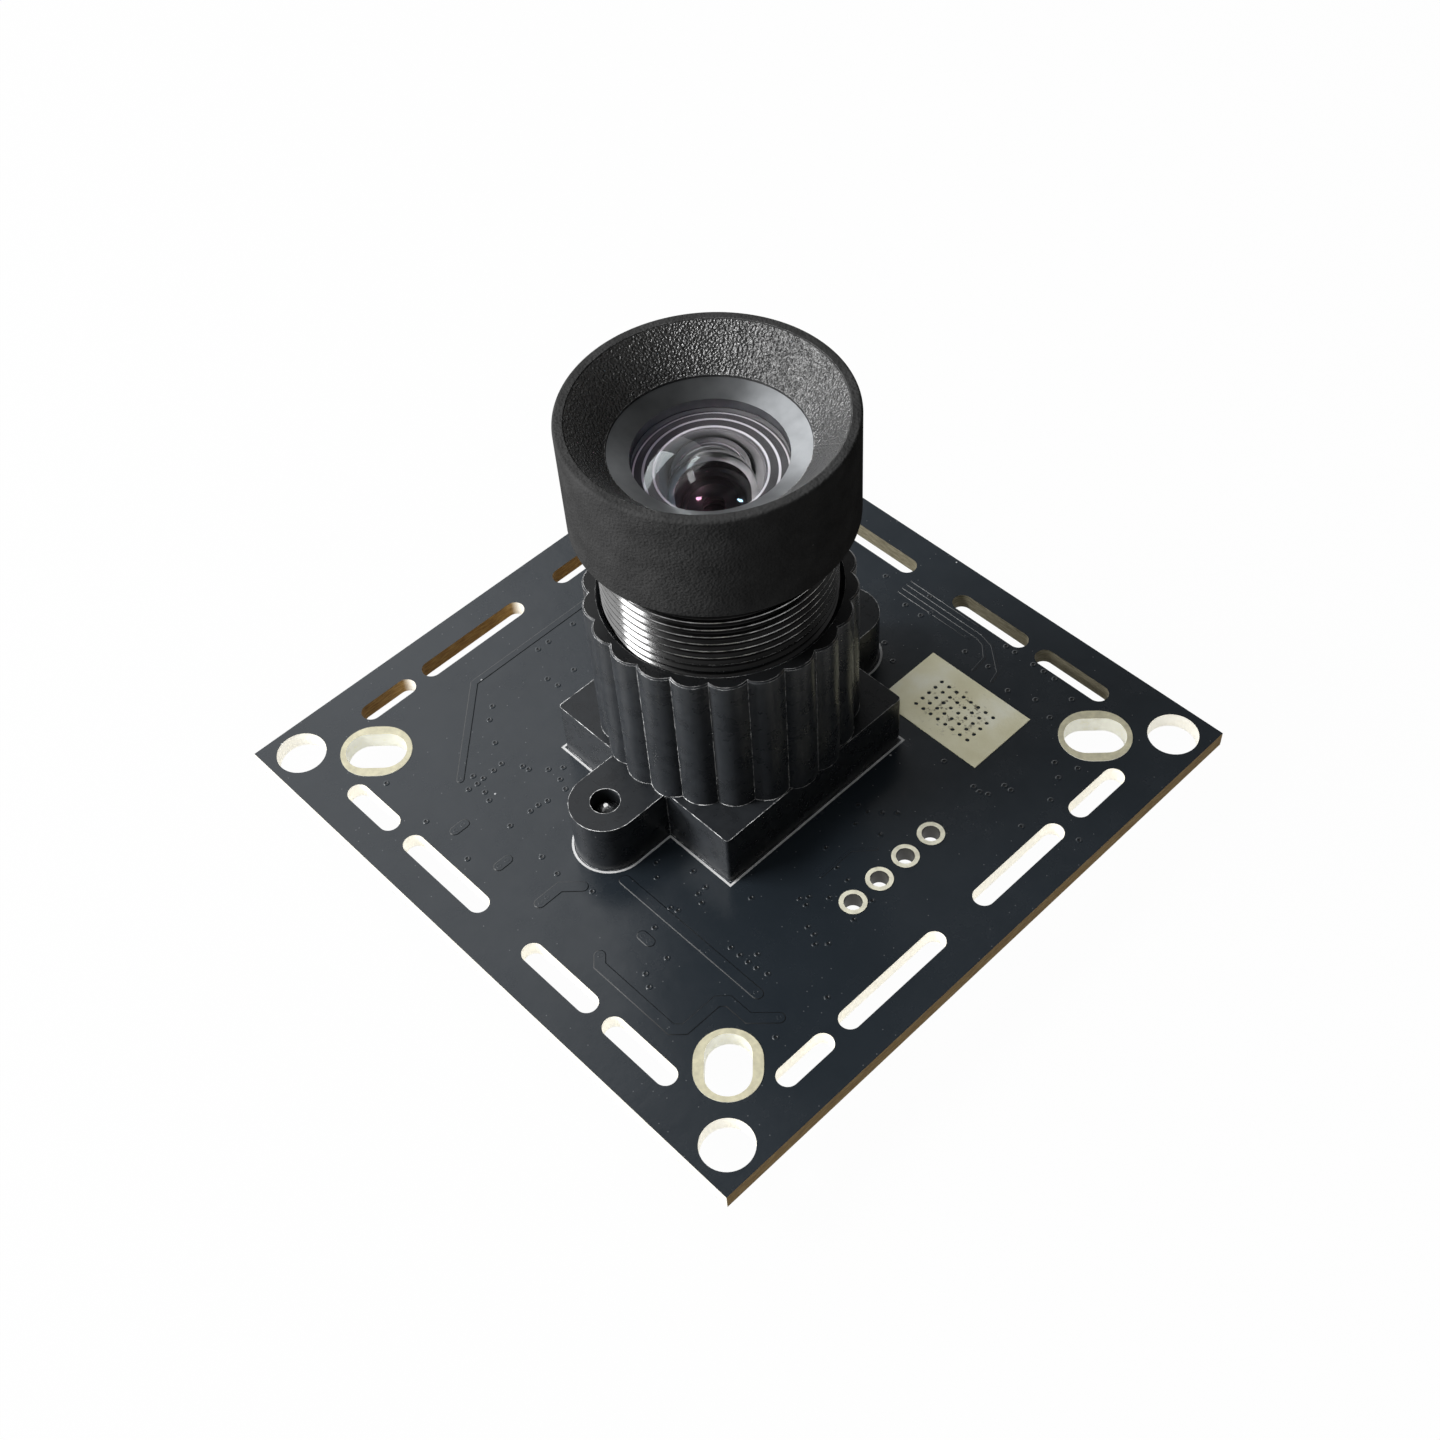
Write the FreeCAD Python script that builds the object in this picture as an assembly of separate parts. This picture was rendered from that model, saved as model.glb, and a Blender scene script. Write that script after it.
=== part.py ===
import FreeCAD, Part
import math
import os

from FreeCAD import Vector

# A board camera module, in millimetres.
# The origin is the centre of the board's back face, under the lens axis.
# +Z is the way the lens looks, and X and Y run along the board's sides.
# Heights named "..._height" on the front are measured from the board's front face.

# Board: the inner board, and the border that can be snapped off it
INNER_SIDE = 32.0
BORDER_WIDTH = 3.0
BOARD_THICKNESS = 1.0
CORNER_HOLE_INSET = 1.9
CORNER_HOLE_RADIUS = 1.4
SLOT_HOLE_INSET = 1.9
SLOT_HOLE_WIDTH = 2.4
SLOT_HOLE_LENGTH = 3.45
PLATING_WALL = 0.08
LAND_SIDE_WIDTH = 0.55
LAND_END_WIDTH = 0.3
LAND_HEIGHT = 0.04

# Break-off slots in the border, a row of four along each side: a short one from each end,
# a narrow bridge, and a long one that stops beside the middle bridge.
# Each row: end gap, short slot, bridge, start of the middle bridge; then the same from the other end.
BREAK_SLOT_WIDTH = 1.2
BREAK_ROW_X = (2.9, 4.0, 0.95, -1.5, 1.7, 0.8, 5.0, 3.1)
BREAK_ROW_Y = (2.9, 3.65, 0.75, -1.25, 1.35, 1.0, 4.05, 2.85)

# Header holes, left open
HEADER_INSET = 4.0
HEADER_PITCH = 2.0
HEADER_COUNT = 4
HEADER_HOLE_RADIUS = 0.5
HEADER_LAND_WIDTH = 0.25

# Heat pad with its grid of small holes, in front of the processor
HEAT_PAD_SHIFT = (-3.1, -0.11)
HEAT_PAD_LENGTH = 7.15
HEAT_PAD_WIDTH = 4.63
HEAT_PAD_THICKNESS = 0.05
VIA_PITCH = 0.54
VIA_RADIUS = 0.125
VIA_COLUMNS = 8
VIA_ROWS = 5
VIA_SIDES = 8

# Lens thread, drawn as rings, and its running gap in the holder
THREAD_RADIUS = 6.0
THREAD_PITCH = 0.5
THREAD_DEPTH = 0.3
THREAD_CREST = 0.1
THREAD_CLEARANCE = 0.05

# Lens holder: its walls are measured from the bore for the lens
FOOT_WALL = 0.5
FOOT_HEIGHT = 3.65
FOOT_CORNER = 0.2
CAVITY_WALL = 1.1
CAVITY_HEIGHT = 2.6
EAR_OFFSET = 2.5
EAR_RADIUS = 1.95
EAR_HEIGHT = 3.55
HOLDER_HEIGHT = 13.1
HOLDER_WALL = 0.62
FLUTE_COUNT = 22
FLUTE_DEPTH = 0.33
FLUTE_EDGE = 0.08
BORE_LEAD_IN = 0.22

# Holder screws, driven from the back
SCREW_RADIUS = 0.78
SCREW_CLEARANCE = 0.02
SCREW_BOARD_GAP = 0.15
SCREW_REACH = 3.2
SCREW_TIP = 0.7
SCREW_TIP_RADIUS = 0.12
SCREW_HEAD_RADIUS = 1.55
SCREW_HEAD_HEIGHT = 1.1
SCREW_HEAD_ROUND = 0.45
RECESS_LENGTH = 1.7
RECESS_WIDTH = 0.38
RECESS_DEPTH = 0.55

# Image sensor
SENSOR_LENGTH = 9.2
SENSOR_WIDTH = 8.0
SENSOR_HEIGHT = 0.9
WELL_MARGIN = 0.9
WELL_DEPTH = 0.45
DIE_MARGIN = 0.3
DIE_THICKNESS = 0.3
SENSOR_GLASS_MARGIN = 0.4
SENSOR_GLASS_THICKNESS = 0.4

# Lens barrel
LENS_REAR_HEIGHT = 4.6
STEM_LENGTH = 13.7
SNOUT_LENGTH = 2.4
SNOUT_STEP = 0.8
HEAD_OVERHANG = 0.1
HEAD_LENGTH = 6.15
HEAD_ROUND = 0.15
RIM_WIDTH = 0.55
HOOD_DEPTH = 2.0
HOOD_SEAT_GAP = 0.05

# Front group of the lens, loaded from the front against a shoulder
FIT_CLEARANCE = 0.02
FRONT_RING_RECESS = 0.12
FRONT_RING_EDGE = 0.98
FRONT_RING_SLOPE = 0.48
FRONT_RING_STEP = 0.42
FRONT_RING_WIDTH = 1.04
FRONT_GROUP_RADIUS = 4.4
FRONT_ELEMENT_EDGE = 1.5
FRONT_SPACER_LENGTH = 0.4
SECOND_ELEMENT_EDGE = 1.2
FRONT_SPACER_WALL = 1.45
NECK_LENGTH = 0.6

# Rear group of the lens, loaded from the back against the neck
REAR_GROUP_RADIUS = 3.48
NECK_STEP = 0.98
THIRD_ELEMENT_EDGE = 1.8
MIDDLE_SPACER_LENGTH = 1.1
STOP_THICKNESS = 0.1
STOP_RADIUS = 1.2
FOURTH_ELEMENT_EDGE = 1.9
CEMENT_GAP = 0.02
FIFTH_ELEMENT_EDGE = 1.98
REAR_SPACER_LENGTH = 1.2
REAR_ELEMENT_EDGE = 1.7
REAR_SPACER_WALL = 0.53
REAR_RING_LENGTH = 0.9
REAR_RING_STEP = 0.44
REAR_RING_WIDTH = 1.02
FILTER_THICKNESS = 0.6

# Lens surfaces: the flat rim's width, then how far the middle stands out of its edge
FRONT_ELEMENT_FRONT = (0.7, 1.05)
FRONT_ELEMENT_REAR = (2.1, -1.35)
SECOND_ELEMENT_FRONT = (1.8, -0.25)
SECOND_ELEMENT_REAR = (2.0, -0.35)
THIRD_ELEMENT_FRONT = (1.08, 0.35)
THIRD_ELEMENT_REAR = (0.63, 0.4)
FOURTH_ELEMENT_FRONT = (1.18, -0.3)
CEMENTED_SURFACE = (0.38, 0.8)
FIFTH_ELEMENT_REAR = (0.63, 0.3)
REAR_ELEMENT_FRONT = (0.78, 0.4)
REAR_ELEMENT_REAR = (0.68, 0.3)

# Processor on the back, behind the heat pad
PROCESSOR_SHIFT = (0.125, -0.065)
PROCESSOR_SIDE = 7.0
PROCESSOR_HEIGHT = 0.85
PROCESSOR_TERMINALS = 14
TERMINAL_PITCH = 0.4
TERMINAL_WIDTH = 0.2
TERMINAL_THICKNESS = 0.2
TERMINAL_REACH = 0.05
TERMINAL_DEPTH = 0.35

# Packages with bent leads on the back; an inset is the distance from two sides of the inner board
FLASH_INSET = (8.0, 6.5)
FLASH_LENGTH = 4.9
FLASH_WIDTH = 3.9
FLASH_HEIGHT = 1.55
FLASH_LEADS_PER_SIDE = 4
FLASH_LEAD_PITCH = 1.27
FLASH_LEAD_WIDTH = 0.42
FLASH_LEAD_REACH = 1.05
REGULATOR_INSETS = ((9.4, 3.4), (9.4, 7.6), (4.4, 7.6))
REGULATOR_LENGTH = 2.9
REGULATOR_WIDTH = 1.6
REGULATOR_HEIGHT = 1.1
REGULATOR_LEADS = ((-1, -1), (0, -1), (1, -1), (-1, 1), (1, 1))
REGULATOR_LEAD_PITCH = 0.95
REGULATOR_LEAD_WIDTH = 0.4
REGULATOR_LEAD_REACH = 0.6
PACKAGE_STANDOFF = 0.1
MOULD_DRAFT = 0.12
LEAD_THICKNESS = 0.15
LEAD_ROOT = 0.3
LEAD_KNEE_SHARE = 0.25
LEAD_DROP_SHARE = 0.5

# Other parts on the back
CRYSTAL_PLACE = (6.6, 0.4)
CRYSTAL_LENGTH = 3.2
CRYSTAL_WIDTH = 2.5
CRYSTAL_HEIGHT = 0.8
CRYSTAL_BASE_HEIGHT = 0.3
CRYSTAL_LID_STEP = 0.15
INDUCTOR_INSETS = ((4.4, 6.4), (9.2, 6.4))
INDUCTOR_SIDE = 4.0
INDUCTOR_HEIGHT = 1.8
INDUCTOR_BASE_HEIGHT = 0.45
INDUCTOR_CORNER = 0.5
INDUCTOR_DRUM_INSET = 0.16
CAPACITOR_LENGTH = 1.6
CAPACITOR_WIDTH = 0.8
CAPACITOR_HEIGHT = 0.8
RESISTOR_LENGTH = 1.0
RESISTOR_WIDTH = 0.5
RESISTOR_HEIGHT = 0.35
TERMINATION_SHARE = 0.22
TERMINATION_LIP = 0.02

# Rows of small parts on the back: the inset or the place of the first one, then the step to the next
FLASH_RESISTORS = ((10.4, 10.8), (1.2, 0.0))
FLASH_RESISTOR_COUNT = 5
CONNECTOR_RESISTORS = (2.9, 1.5)
CONNECTOR_RESISTOR_COUNT = 5
MIDDLE_RESISTORS = ((-4.5, -1.0), (1.5, 0.0))
MIDDLE_RESISTOR_COUNT = 6
PROCESSOR_CAPACITORS = ((12.6, 11.0), (2.2, 0.0))
PROCESSOR_CAPACITOR_COUNT = 4
LOWER_CAPACITORS = ((12.4, 2.8), (2.6, 0.0))
LOWER_CAPACITOR_COUNT = 4
INDUCTOR_CAPACITORS = ((12.4, 7.6), (0.0, -2.4))
INDUCTOR_CAPACITOR_COUNT = 2
REGULATOR_CAPACITORS = ((9.4, 10.6), (-2.6, 0.0))
REGULATOR_CAPACITOR_COUNT = 2
MIDDLE_CAPACITORS = ((-4.4, 2.4), (2.4, 0.0))
MIDDLE_CAPACITOR_COUNT = 3

# Cable connector on the back, its mouth facing -X
CONNECTOR_INSET = 0.2
CONNECTOR_DEPTH = 4.3
CONNECTOR_WIDTH = 8.0
CONNECTOR_HEIGHT = 3.3
CONNECTOR_WALL = 0.5
CONNECTOR_BACK_WALL = 0.9
CONTACT_PITCH = 1.25
CONTACT_COUNT = 4
CONTACT_WIDTH = 0.32
CONTACT_PIN_LENGTH = 2.4
CONTACT_TAIL = 1.0
KEY_SLOT_WIDTH = 1.0
KEY_SLOT_LENGTH = 1.7
TAB_LENGTH = 1.8
TAB_HEIGHT = 1.65
TAB_REACH = 0.8
TAB_THICKNESS = 0.2

# Places that follow from the sizes above
UP = Vector(0, 0, 1)
TINY = 1e-6
FRONT = BOARD_THICKNESS
BOARD_SIDE = INNER_SIDE + 2 * BORDER_WIDTH
CORNER_HOLE_PITCH = BOARD_SIDE - 2 * CORNER_HOLE_INSET
SLOT_HOLE_PITCH = INNER_SIDE - 2 * SLOT_HOLE_INSET
HOLDER_BORE = THREAD_RADIUS + THREAD_CLEARANCE
GROOVE_RADIUS = HOLDER_BORE + HOLDER_WALL
FLUTE_CREST_RADIUS = GROOVE_RADIUS + FLUTE_DEPTH
PITCH_ANGLE = 2 * math.pi / FLUTE_COUNT
FOOT_SIDE = 2 * (HOLDER_BORE + FOOT_WALL)
CAVITY_SIDE = FOOT_SIDE - 2 * CAVITY_WALL
EAR_Y = FOOT_SIDE / 2 + EAR_OFFSET
PILOT_RADIUS = SCREW_RADIUS + SCREW_CLEARANCE
SCREW_PLACES = ((0.0, -EAR_Y), (0.0, EAR_Y))
SNOUT_RADIUS = THREAD_RADIUS - SNOUT_STEP
HEAD_RADIUS = FLUTE_CREST_RADIUS + HEAD_OVERHANG
HOOD_MOUTH_RADIUS = HEAD_RADIUS - RIM_WIDTH
FRONT_RING_RADIUS = FRONT_GROUP_RADIUS + FRONT_RING_STEP
FRONT_RING_BORE = FRONT_RING_RADIUS - FRONT_RING_WIDTH
HOOD_BOTTOM_RADIUS = FRONT_RING_RADIUS + HOOD_SEAT_GAP
NECK_RADIUS = REAR_GROUP_RADIUS - NECK_STEP
REAR_RING_RADIUS = REAR_GROUP_RADIUS + REAR_RING_STEP
REAR_RING_BORE = REAR_RING_RADIUS - REAR_RING_WIDTH
LENS_REAR = FRONT + LENS_REAR_HEIGHT
THREAD_START = LENS_REAR + SNOUT_LENGTH
HEAD_START = LENS_REAR + STEM_LENGTH
RIM = HEAD_START + HEAD_LENGTH
HOOD_BOTTOM = RIM - HOOD_DEPTH
FRONT_RING_TOP = HOOD_BOTTOM - FRONT_RING_RECESS
FRONT_RING_FLOOR = FRONT_RING_TOP - FRONT_RING_EDGE
CONNECTOR_MOUTH_X = CONNECTOR_INSET - INNER_SIDE / 2
CONNECTOR_REAR_X = CONNECTOR_MOUTH_X + CONNECTOR_DEPTH


def cylinder(radius, low, high, place=(0.0, 0.0)):
    return Part.makeCylinder(radius, high - low, Vector(place[0], place[1], low), UP)


def block(length, width, low, high, place=(0.0, 0.0)):
    corner = Vector(place[0] - length / 2, place[1] - width / 2, low)
    return Part.makeBox(length, width, high - low, corner)


def rectangle(length, width, level, place):
    x, y = place
    corners = [Vector(x + i * length / 2, y + j * width / 2, level)
               for i, j in ((-1, -1), (1, -1), (1, 1), (-1, 1))]
    return Part.makePolygon(corners + corners[:1])


def obround(length, width, low, high, place=(0.0, 0.0), turn=0.0):
    """A slot-shaped prism, its long way turned from X by so many degrees."""
    reach = (length - width) / 2
    middle = block(2 * reach, width, low, high)
    ends = [cylinder(width / 2, low, high, (side * reach, 0.0)) for side in (-1, 1)]
    shape = middle.fuse(ends).removeSplitter()
    shape.rotate(Vector(0, 0, 0), UP, turn)
    shape.translate(Vector(place[0], place[1], 0))
    return shape


def small_hole(radius, low, high, place):
    """A hole so small that a few flat sides stand for its round wall."""
    turns = [2 * math.pi * i / VIA_SIDES for i in range(VIA_SIDES)]
    corners = [Vector(place[0] + radius * math.cos(a), place[1] + radius * math.sin(a), low) for a in turns]
    return Part.Face(Part.makePolygon(corners + corners[:1])).extrude(UP * (high - low))


def turned(points):
    """A solid of revolution about Z, from points of radius and height."""
    corners = [Vector(r, 0, z) for r, z in points]
    face = Part.Face(Part.makePolygon(corners + corners[:1]))
    return face.revolve(Vector(0, 0, 0), UP, 360)


def ring(outer, inner, low, high):
    return cylinder(outer, low, high).cut(cylinder(inner, low, high))


def corners_of(pitch):
    return [(i * pitch / 2, j * pitch / 2) for i in (-1, 1) for j in (-1, 1)]


def on_back(shape):
    """Turns a part built upwards from the board's back face to the other side."""
    return shape.mirror(Vector(0, 0, 0), UP)


def outward_turn(place):
    """The angle of the line from the board's middle to a place, in degrees."""
    return math.degrees(math.atan2(place[1], place[0]))


def inset(x_side, y_side, distances):
    """The place at these distances in from two sides of the inner board."""
    return (x_side * (INNER_SIDE / 2 - distances[0]), y_side * (INNER_SIDE / 2 - distances[1]))


def moved(place, shift):
    return (place[0] + shift[0], place[1] + shift[1])


def heat_pad_centre():
    """Beside the middle between the holder's foot and the slotted hole at that corner."""
    middle = (FOOT_SIDE / 2 + SLOT_HOLE_PITCH / 2) / 2
    return moved((middle, middle), HEAT_PAD_SHIFT)


def processor_centre():
    return moved(heat_pad_centre(), PROCESSOR_SHIFT)


def header_places():
    first = -(HEADER_COUNT - 1) * HEADER_PITCH / 2
    return [(INNER_SIDE / 2 - HEADER_INSET, first + i * HEADER_PITCH) for i in range(HEADER_COUNT)]


def break_spans(row):
    """Where the four slots of a row start and end, along a side of the inner board."""
    low_gap, low_slot, low_bridge, middle_start, middle_end, high_bridge, high_slot, high_gap = row
    low = low_gap - INNER_SIDE / 2
    high = INNER_SIDE / 2 - high_gap
    return [(low, low + low_slot), (low + low_slot + low_bridge, middle_start),
            (middle_end, high - high_slot - high_bridge), (high - high_slot, high)]


def break_slots():
    """The slots of the snap-off border, along all four sides."""
    line = (INNER_SIDE + BREAK_SLOT_WIDTH) / 2
    slots = []
    for side in (-1, 1):
        for start, end in break_spans(BREAK_ROW_X):
            place = ((start + end) / 2, side * line)
            slots.append(obround(end - start, BREAK_SLOT_WIDTH, 0, FRONT, place))
        for start, end in break_spans(BREAK_ROW_Y):
            place = (side * line, (start + end) / 2)
            slots.append(obround(end - start, BREAK_SLOT_WIDTH, 0, FRONT, place, 90))
    return slots


def make_board():
    cuts = break_slots()
    cuts += [cylinder(CORNER_HOLE_RADIUS, 0, FRONT, p) for p in corners_of(CORNER_HOLE_PITCH)]
    length = SLOT_HOLE_LENGTH + 2 * PLATING_WALL
    width = SLOT_HOLE_WIDTH + 2 * PLATING_WALL
    cuts += [obround(length, width, 0, FRONT, p, outward_turn(p)) for p in corners_of(SLOT_HOLE_PITCH)]
    cuts += [cylinder(HEADER_HOLE_RADIUS + PLATING_WALL, 0, FRONT, p) for p in header_places()]
    cuts += [cylinder(SCREW_RADIUS + SCREW_BOARD_GAP, 0, FRONT, p) for p in SCREW_PLACES]
    return block(BOARD_SIDE, BOARD_SIDE, 0, FRONT).cut(cuts)


def eyelet(profile, end_land, side_land):
    """Plating in a hole, from a function that gives the hole grown by margins at its ends and sides."""
    wall = profile(PLATING_WALL, PLATING_WALL, 0, FRONT)
    lands = [profile(end_land, side_land, FRONT, FRONT + LAND_HEIGHT),
             profile(end_land, side_land, -LAND_HEIGHT, 0)]
    return wall.fuse(lands).cut(profile(0, 0, -LAND_HEIGHT, FRONT + LAND_HEIGHT)).removeSplitter()


def make_slot_hole_plating():
    def eyelet_at(place):
        def profile(end, side, low, high):
            length = SLOT_HOLE_LENGTH + 2 * end
            width = SLOT_HOLE_WIDTH + 2 * side
            return obround(length, width, low, high, place, outward_turn(place))
        return eyelet(profile, LAND_END_WIDTH, LAND_SIDE_WIDTH)
    return Part.makeCompound([eyelet_at(p) for p in corners_of(SLOT_HOLE_PITCH)])


def make_header_hole_plating():
    def eyelet_at(place):
        def profile(end, side, low, high):
            return cylinder(HEADER_HOLE_RADIUS + side, low, high, place)
        return eyelet(profile, HEADER_LAND_WIDTH, HEADER_LAND_WIDTH)
    return Part.makeCompound([eyelet_at(p) for p in header_places()])


def make_heat_pad():
    top = FRONT + HEAT_PAD_THICKNESS
    pad = block(HEAT_PAD_LENGTH, HEAT_PAD_WIDTH, FRONT, top, heat_pad_centre())
    middle_x, middle_y = processor_centre()
    vias = []
    for i in range(VIA_COLUMNS):
        for j in range(VIA_ROWS):
            x = middle_x + (i - (VIA_COLUMNS - 1) / 2) * VIA_PITCH
            y = middle_y + (j - (VIA_ROWS - 1) / 2) * VIA_PITCH
            vias.append(small_hole(VIA_RADIUS, FRONT, top, (x, y)))
    return pad.cut(vias)


def fluted_prism(low, high):
    """The holder's barrel: round flutes that meet in sharp grooves, one flute over each ear."""
    def at(radius, angle):
        return Vector(radius * math.cos(angle), radius * math.sin(angle), low)
    start = math.pi / 2 - PITCH_ANGLE / 2
    arcs = []
    for i in range(FLUTE_COUNT):
        a = start + i * PITCH_ANGLE
        crest = at(FLUTE_CREST_RADIUS, a + PITCH_ANGLE / 2)
        arcs.append(Part.Arc(at(GROOVE_RADIUS, a), crest, at(GROOVE_RADIUS, a + PITCH_ANGLE)).toShape())
    return Part.Face(Part.Wire(arcs)).extrude(UP * (high - low))


def circles(shape, radius, height):
    """The edges of a shape that are circles of this radius at this height."""
    found = []
    for edge in shape.Edges:
        curve = edge.Curve
        if isinstance(curve, Part.Circle) and abs(curve.Radius - radius) < TINY:
            if abs(curve.Center.z - height) < TINY:
                found.append(edge)
    return found


def make_lens_holder():
    foot = block(FOOT_SIDE, FOOT_SIDE, FRONT, FRONT + FOOT_HEIGHT)
    uprights = [e for e in foot.Edges if e.BoundBox.ZLength > FOOT_HEIGHT / 2]
    foot = foot.makeFillet(FOOT_CORNER, uprights)
    top = FRONT + HOLDER_HEIGHT
    barrel = fluted_prism(FRONT + min(EAR_HEIGHT, FOOT_HEIGHT), top)
    barrel = barrel.makeChamfer(FLUTE_EDGE, [e for e in barrel.Edges if e.BoundBox.ZMin > top - TINY])
    ears = []
    for x, y in SCREW_PLACES:
        ears.append(cylinder(EAR_RADIUS, FRONT, FRONT + EAR_HEIGHT, (x, y)))
        ears.append(block(2 * EAR_RADIUS, abs(y), FRONT, FRONT + EAR_HEIGHT, (x, y / 2)))
    body = foot.fuse([barrel] + ears).removeSplitter()
    lead_in = Part.makeCone(HOLDER_BORE, HOLDER_BORE + BORE_LEAD_IN, BORE_LEAD_IN,
                            Vector(0, 0, top - BORE_LEAD_IN), UP)
    cuts = [block(CAVITY_SIDE, CAVITY_SIDE, FRONT, FRONT + CAVITY_HEIGHT),
            cylinder(HOLDER_BORE, FRONT + CAVITY_HEIGHT / 2, top), lead_in]
    cuts += [cylinder(PILOT_RADIUS, FRONT, FRONT + EAR_HEIGHT, p) for p in SCREW_PLACES]
    return body.cut(cuts)


def make_holder_screws():
    tip = FRONT + SCREW_REACH
    screws = []
    for x, y in SCREW_PLACES:
        head = cylinder(SCREW_HEAD_RADIUS, -SCREW_HEAD_HEIGHT, 0, (x, y))
        head = head.makeFillet(SCREW_HEAD_ROUND, circles(head, SCREW_HEAD_RADIUS, -SCREW_HEAD_HEIGHT))
        floor = -SCREW_HEAD_HEIGHT + RECESS_DEPTH
        recess = [block(RECESS_LENGTH, RECESS_WIDTH, -SCREW_HEAD_HEIGHT, floor, (x, y)),
                  block(RECESS_WIDTH, RECESS_LENGTH, -SCREW_HEAD_HEIGHT, floor, (x, y))]
        shank = cylinder(SCREW_RADIUS, 0, tip - SCREW_TIP, (x, y))
        point = Part.makeCone(SCREW_RADIUS, SCREW_TIP_RADIUS, SCREW_TIP, Vector(x, y, tip - SCREW_TIP), UP)
        screws.append(head.fuse([shank, point]).removeSplitter().cut(recess))
    return Part.makeCompound(screws)


def make_sensor():
    """The sensor's package with its well, the die in the well and the glass over it."""
    top = FRONT + SENSOR_HEIGHT
    well_length = SENSOR_LENGTH - 2 * WELL_MARGIN
    well_width = SENSOR_WIDTH - 2 * WELL_MARGIN
    package = block(SENSOR_LENGTH, SENSOR_WIDTH, FRONT, top)
    package = package.cut(block(well_length, well_width, top - WELL_DEPTH, top))
    die = block(well_length - 2 * DIE_MARGIN, well_width - 2 * DIE_MARGIN,
                top - WELL_DEPTH, top - WELL_DEPTH + DIE_THICKNESS)
    glass = block(SENSOR_LENGTH - 2 * SENSOR_GLASS_MARGIN, SENSOR_WIDTH - 2 * SENSOR_GLASS_MARGIN,
                  top, top + SENSOR_GLASS_THICKNESS)
    return package, die, glass


def lens_element(low, edge, radius, front, rear):
    """A lens of revolution: flat rims, and a spherical middle on each side."""
    def surface(level, half_aperture, apex):
        """The arc from the axis out to the rim; a straight line if the middle is flat."""
        rim = Vector(half_aperture, 0, level)
        centre = Vector(0, 0, apex)
        if abs(apex - level) < TINY:
            return Part.makeLine(centre, rim)
        rise = apex - level
        sphere = (half_aperture ** 2 + rise ** 2) / (2 * rise)
        half = math.asin(half_aperture / abs(sphere)) / 2
        middle = Vector(abs(sphere) * math.sin(half), 0, apex - sphere * (1 - math.cos(half)))
        return Part.Arc(centre, middle, rim).toShape()

    high = low + edge
    front_rim, front_rise = front
    rear_rim, rear_rise = rear
    front_half = radius - front_rim
    rear_half = radius - rear_rim
    edges = [surface(high, front_half, high + front_rise)]
    edges.append(Part.makeLine(Vector(front_half, 0, high), Vector(radius, 0, high)))
    edges.append(Part.makeLine(Vector(radius, 0, high), Vector(radius, 0, low)))
    edges.append(Part.makeLine(Vector(radius, 0, low), Vector(rear_half, 0, low)))
    edges.append(surface(low, rear_half, low - rear_rise))
    edges.append(Part.makeLine(Vector(0, 0, low - rear_rise), Vector(0, 0, high + front_rise)))
    face = Part.Face(Part.Wire(Part.__sortEdges__(edges)))
    return face.revolve(Vector(0, 0, 0), UP, 360)


def make_front_group():
    """The retaining ring, front glass, spacer and second glass, from the hood down to the neck."""
    parts = {}
    parts["front_retaining_ring"] = turned([
        (FRONT_RING_BORE, FRONT_RING_FLOOR),
        (FRONT_RING_RADIUS, FRONT_RING_FLOOR),
        (FRONT_RING_RADIUS, FRONT_RING_TOP),
        (FRONT_RING_BORE, FRONT_RING_TOP - FRONT_RING_SLOPE)])
    level = FRONT_RING_FLOOR - FRONT_ELEMENT_EDGE
    parts["front_element"] = lens_element(
        level, FRONT_ELEMENT_EDGE, FRONT_GROUP_RADIUS, FRONT_ELEMENT_FRONT, FRONT_ELEMENT_REAR)
    level -= FRONT_SPACER_LENGTH
    bore = FRONT_GROUP_RADIUS - FRONT_SPACER_WALL
    parts["front_spacer"] = ring(FRONT_GROUP_RADIUS, bore, level, level + FRONT_SPACER_LENGTH)
    level -= SECOND_ELEMENT_EDGE
    parts["second_element"] = lens_element(
        level, SECOND_ELEMENT_EDGE, FRONT_GROUP_RADIUS, SECOND_ELEMENT_FRONT, SECOND_ELEMENT_REAR)
    return parts, level


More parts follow.
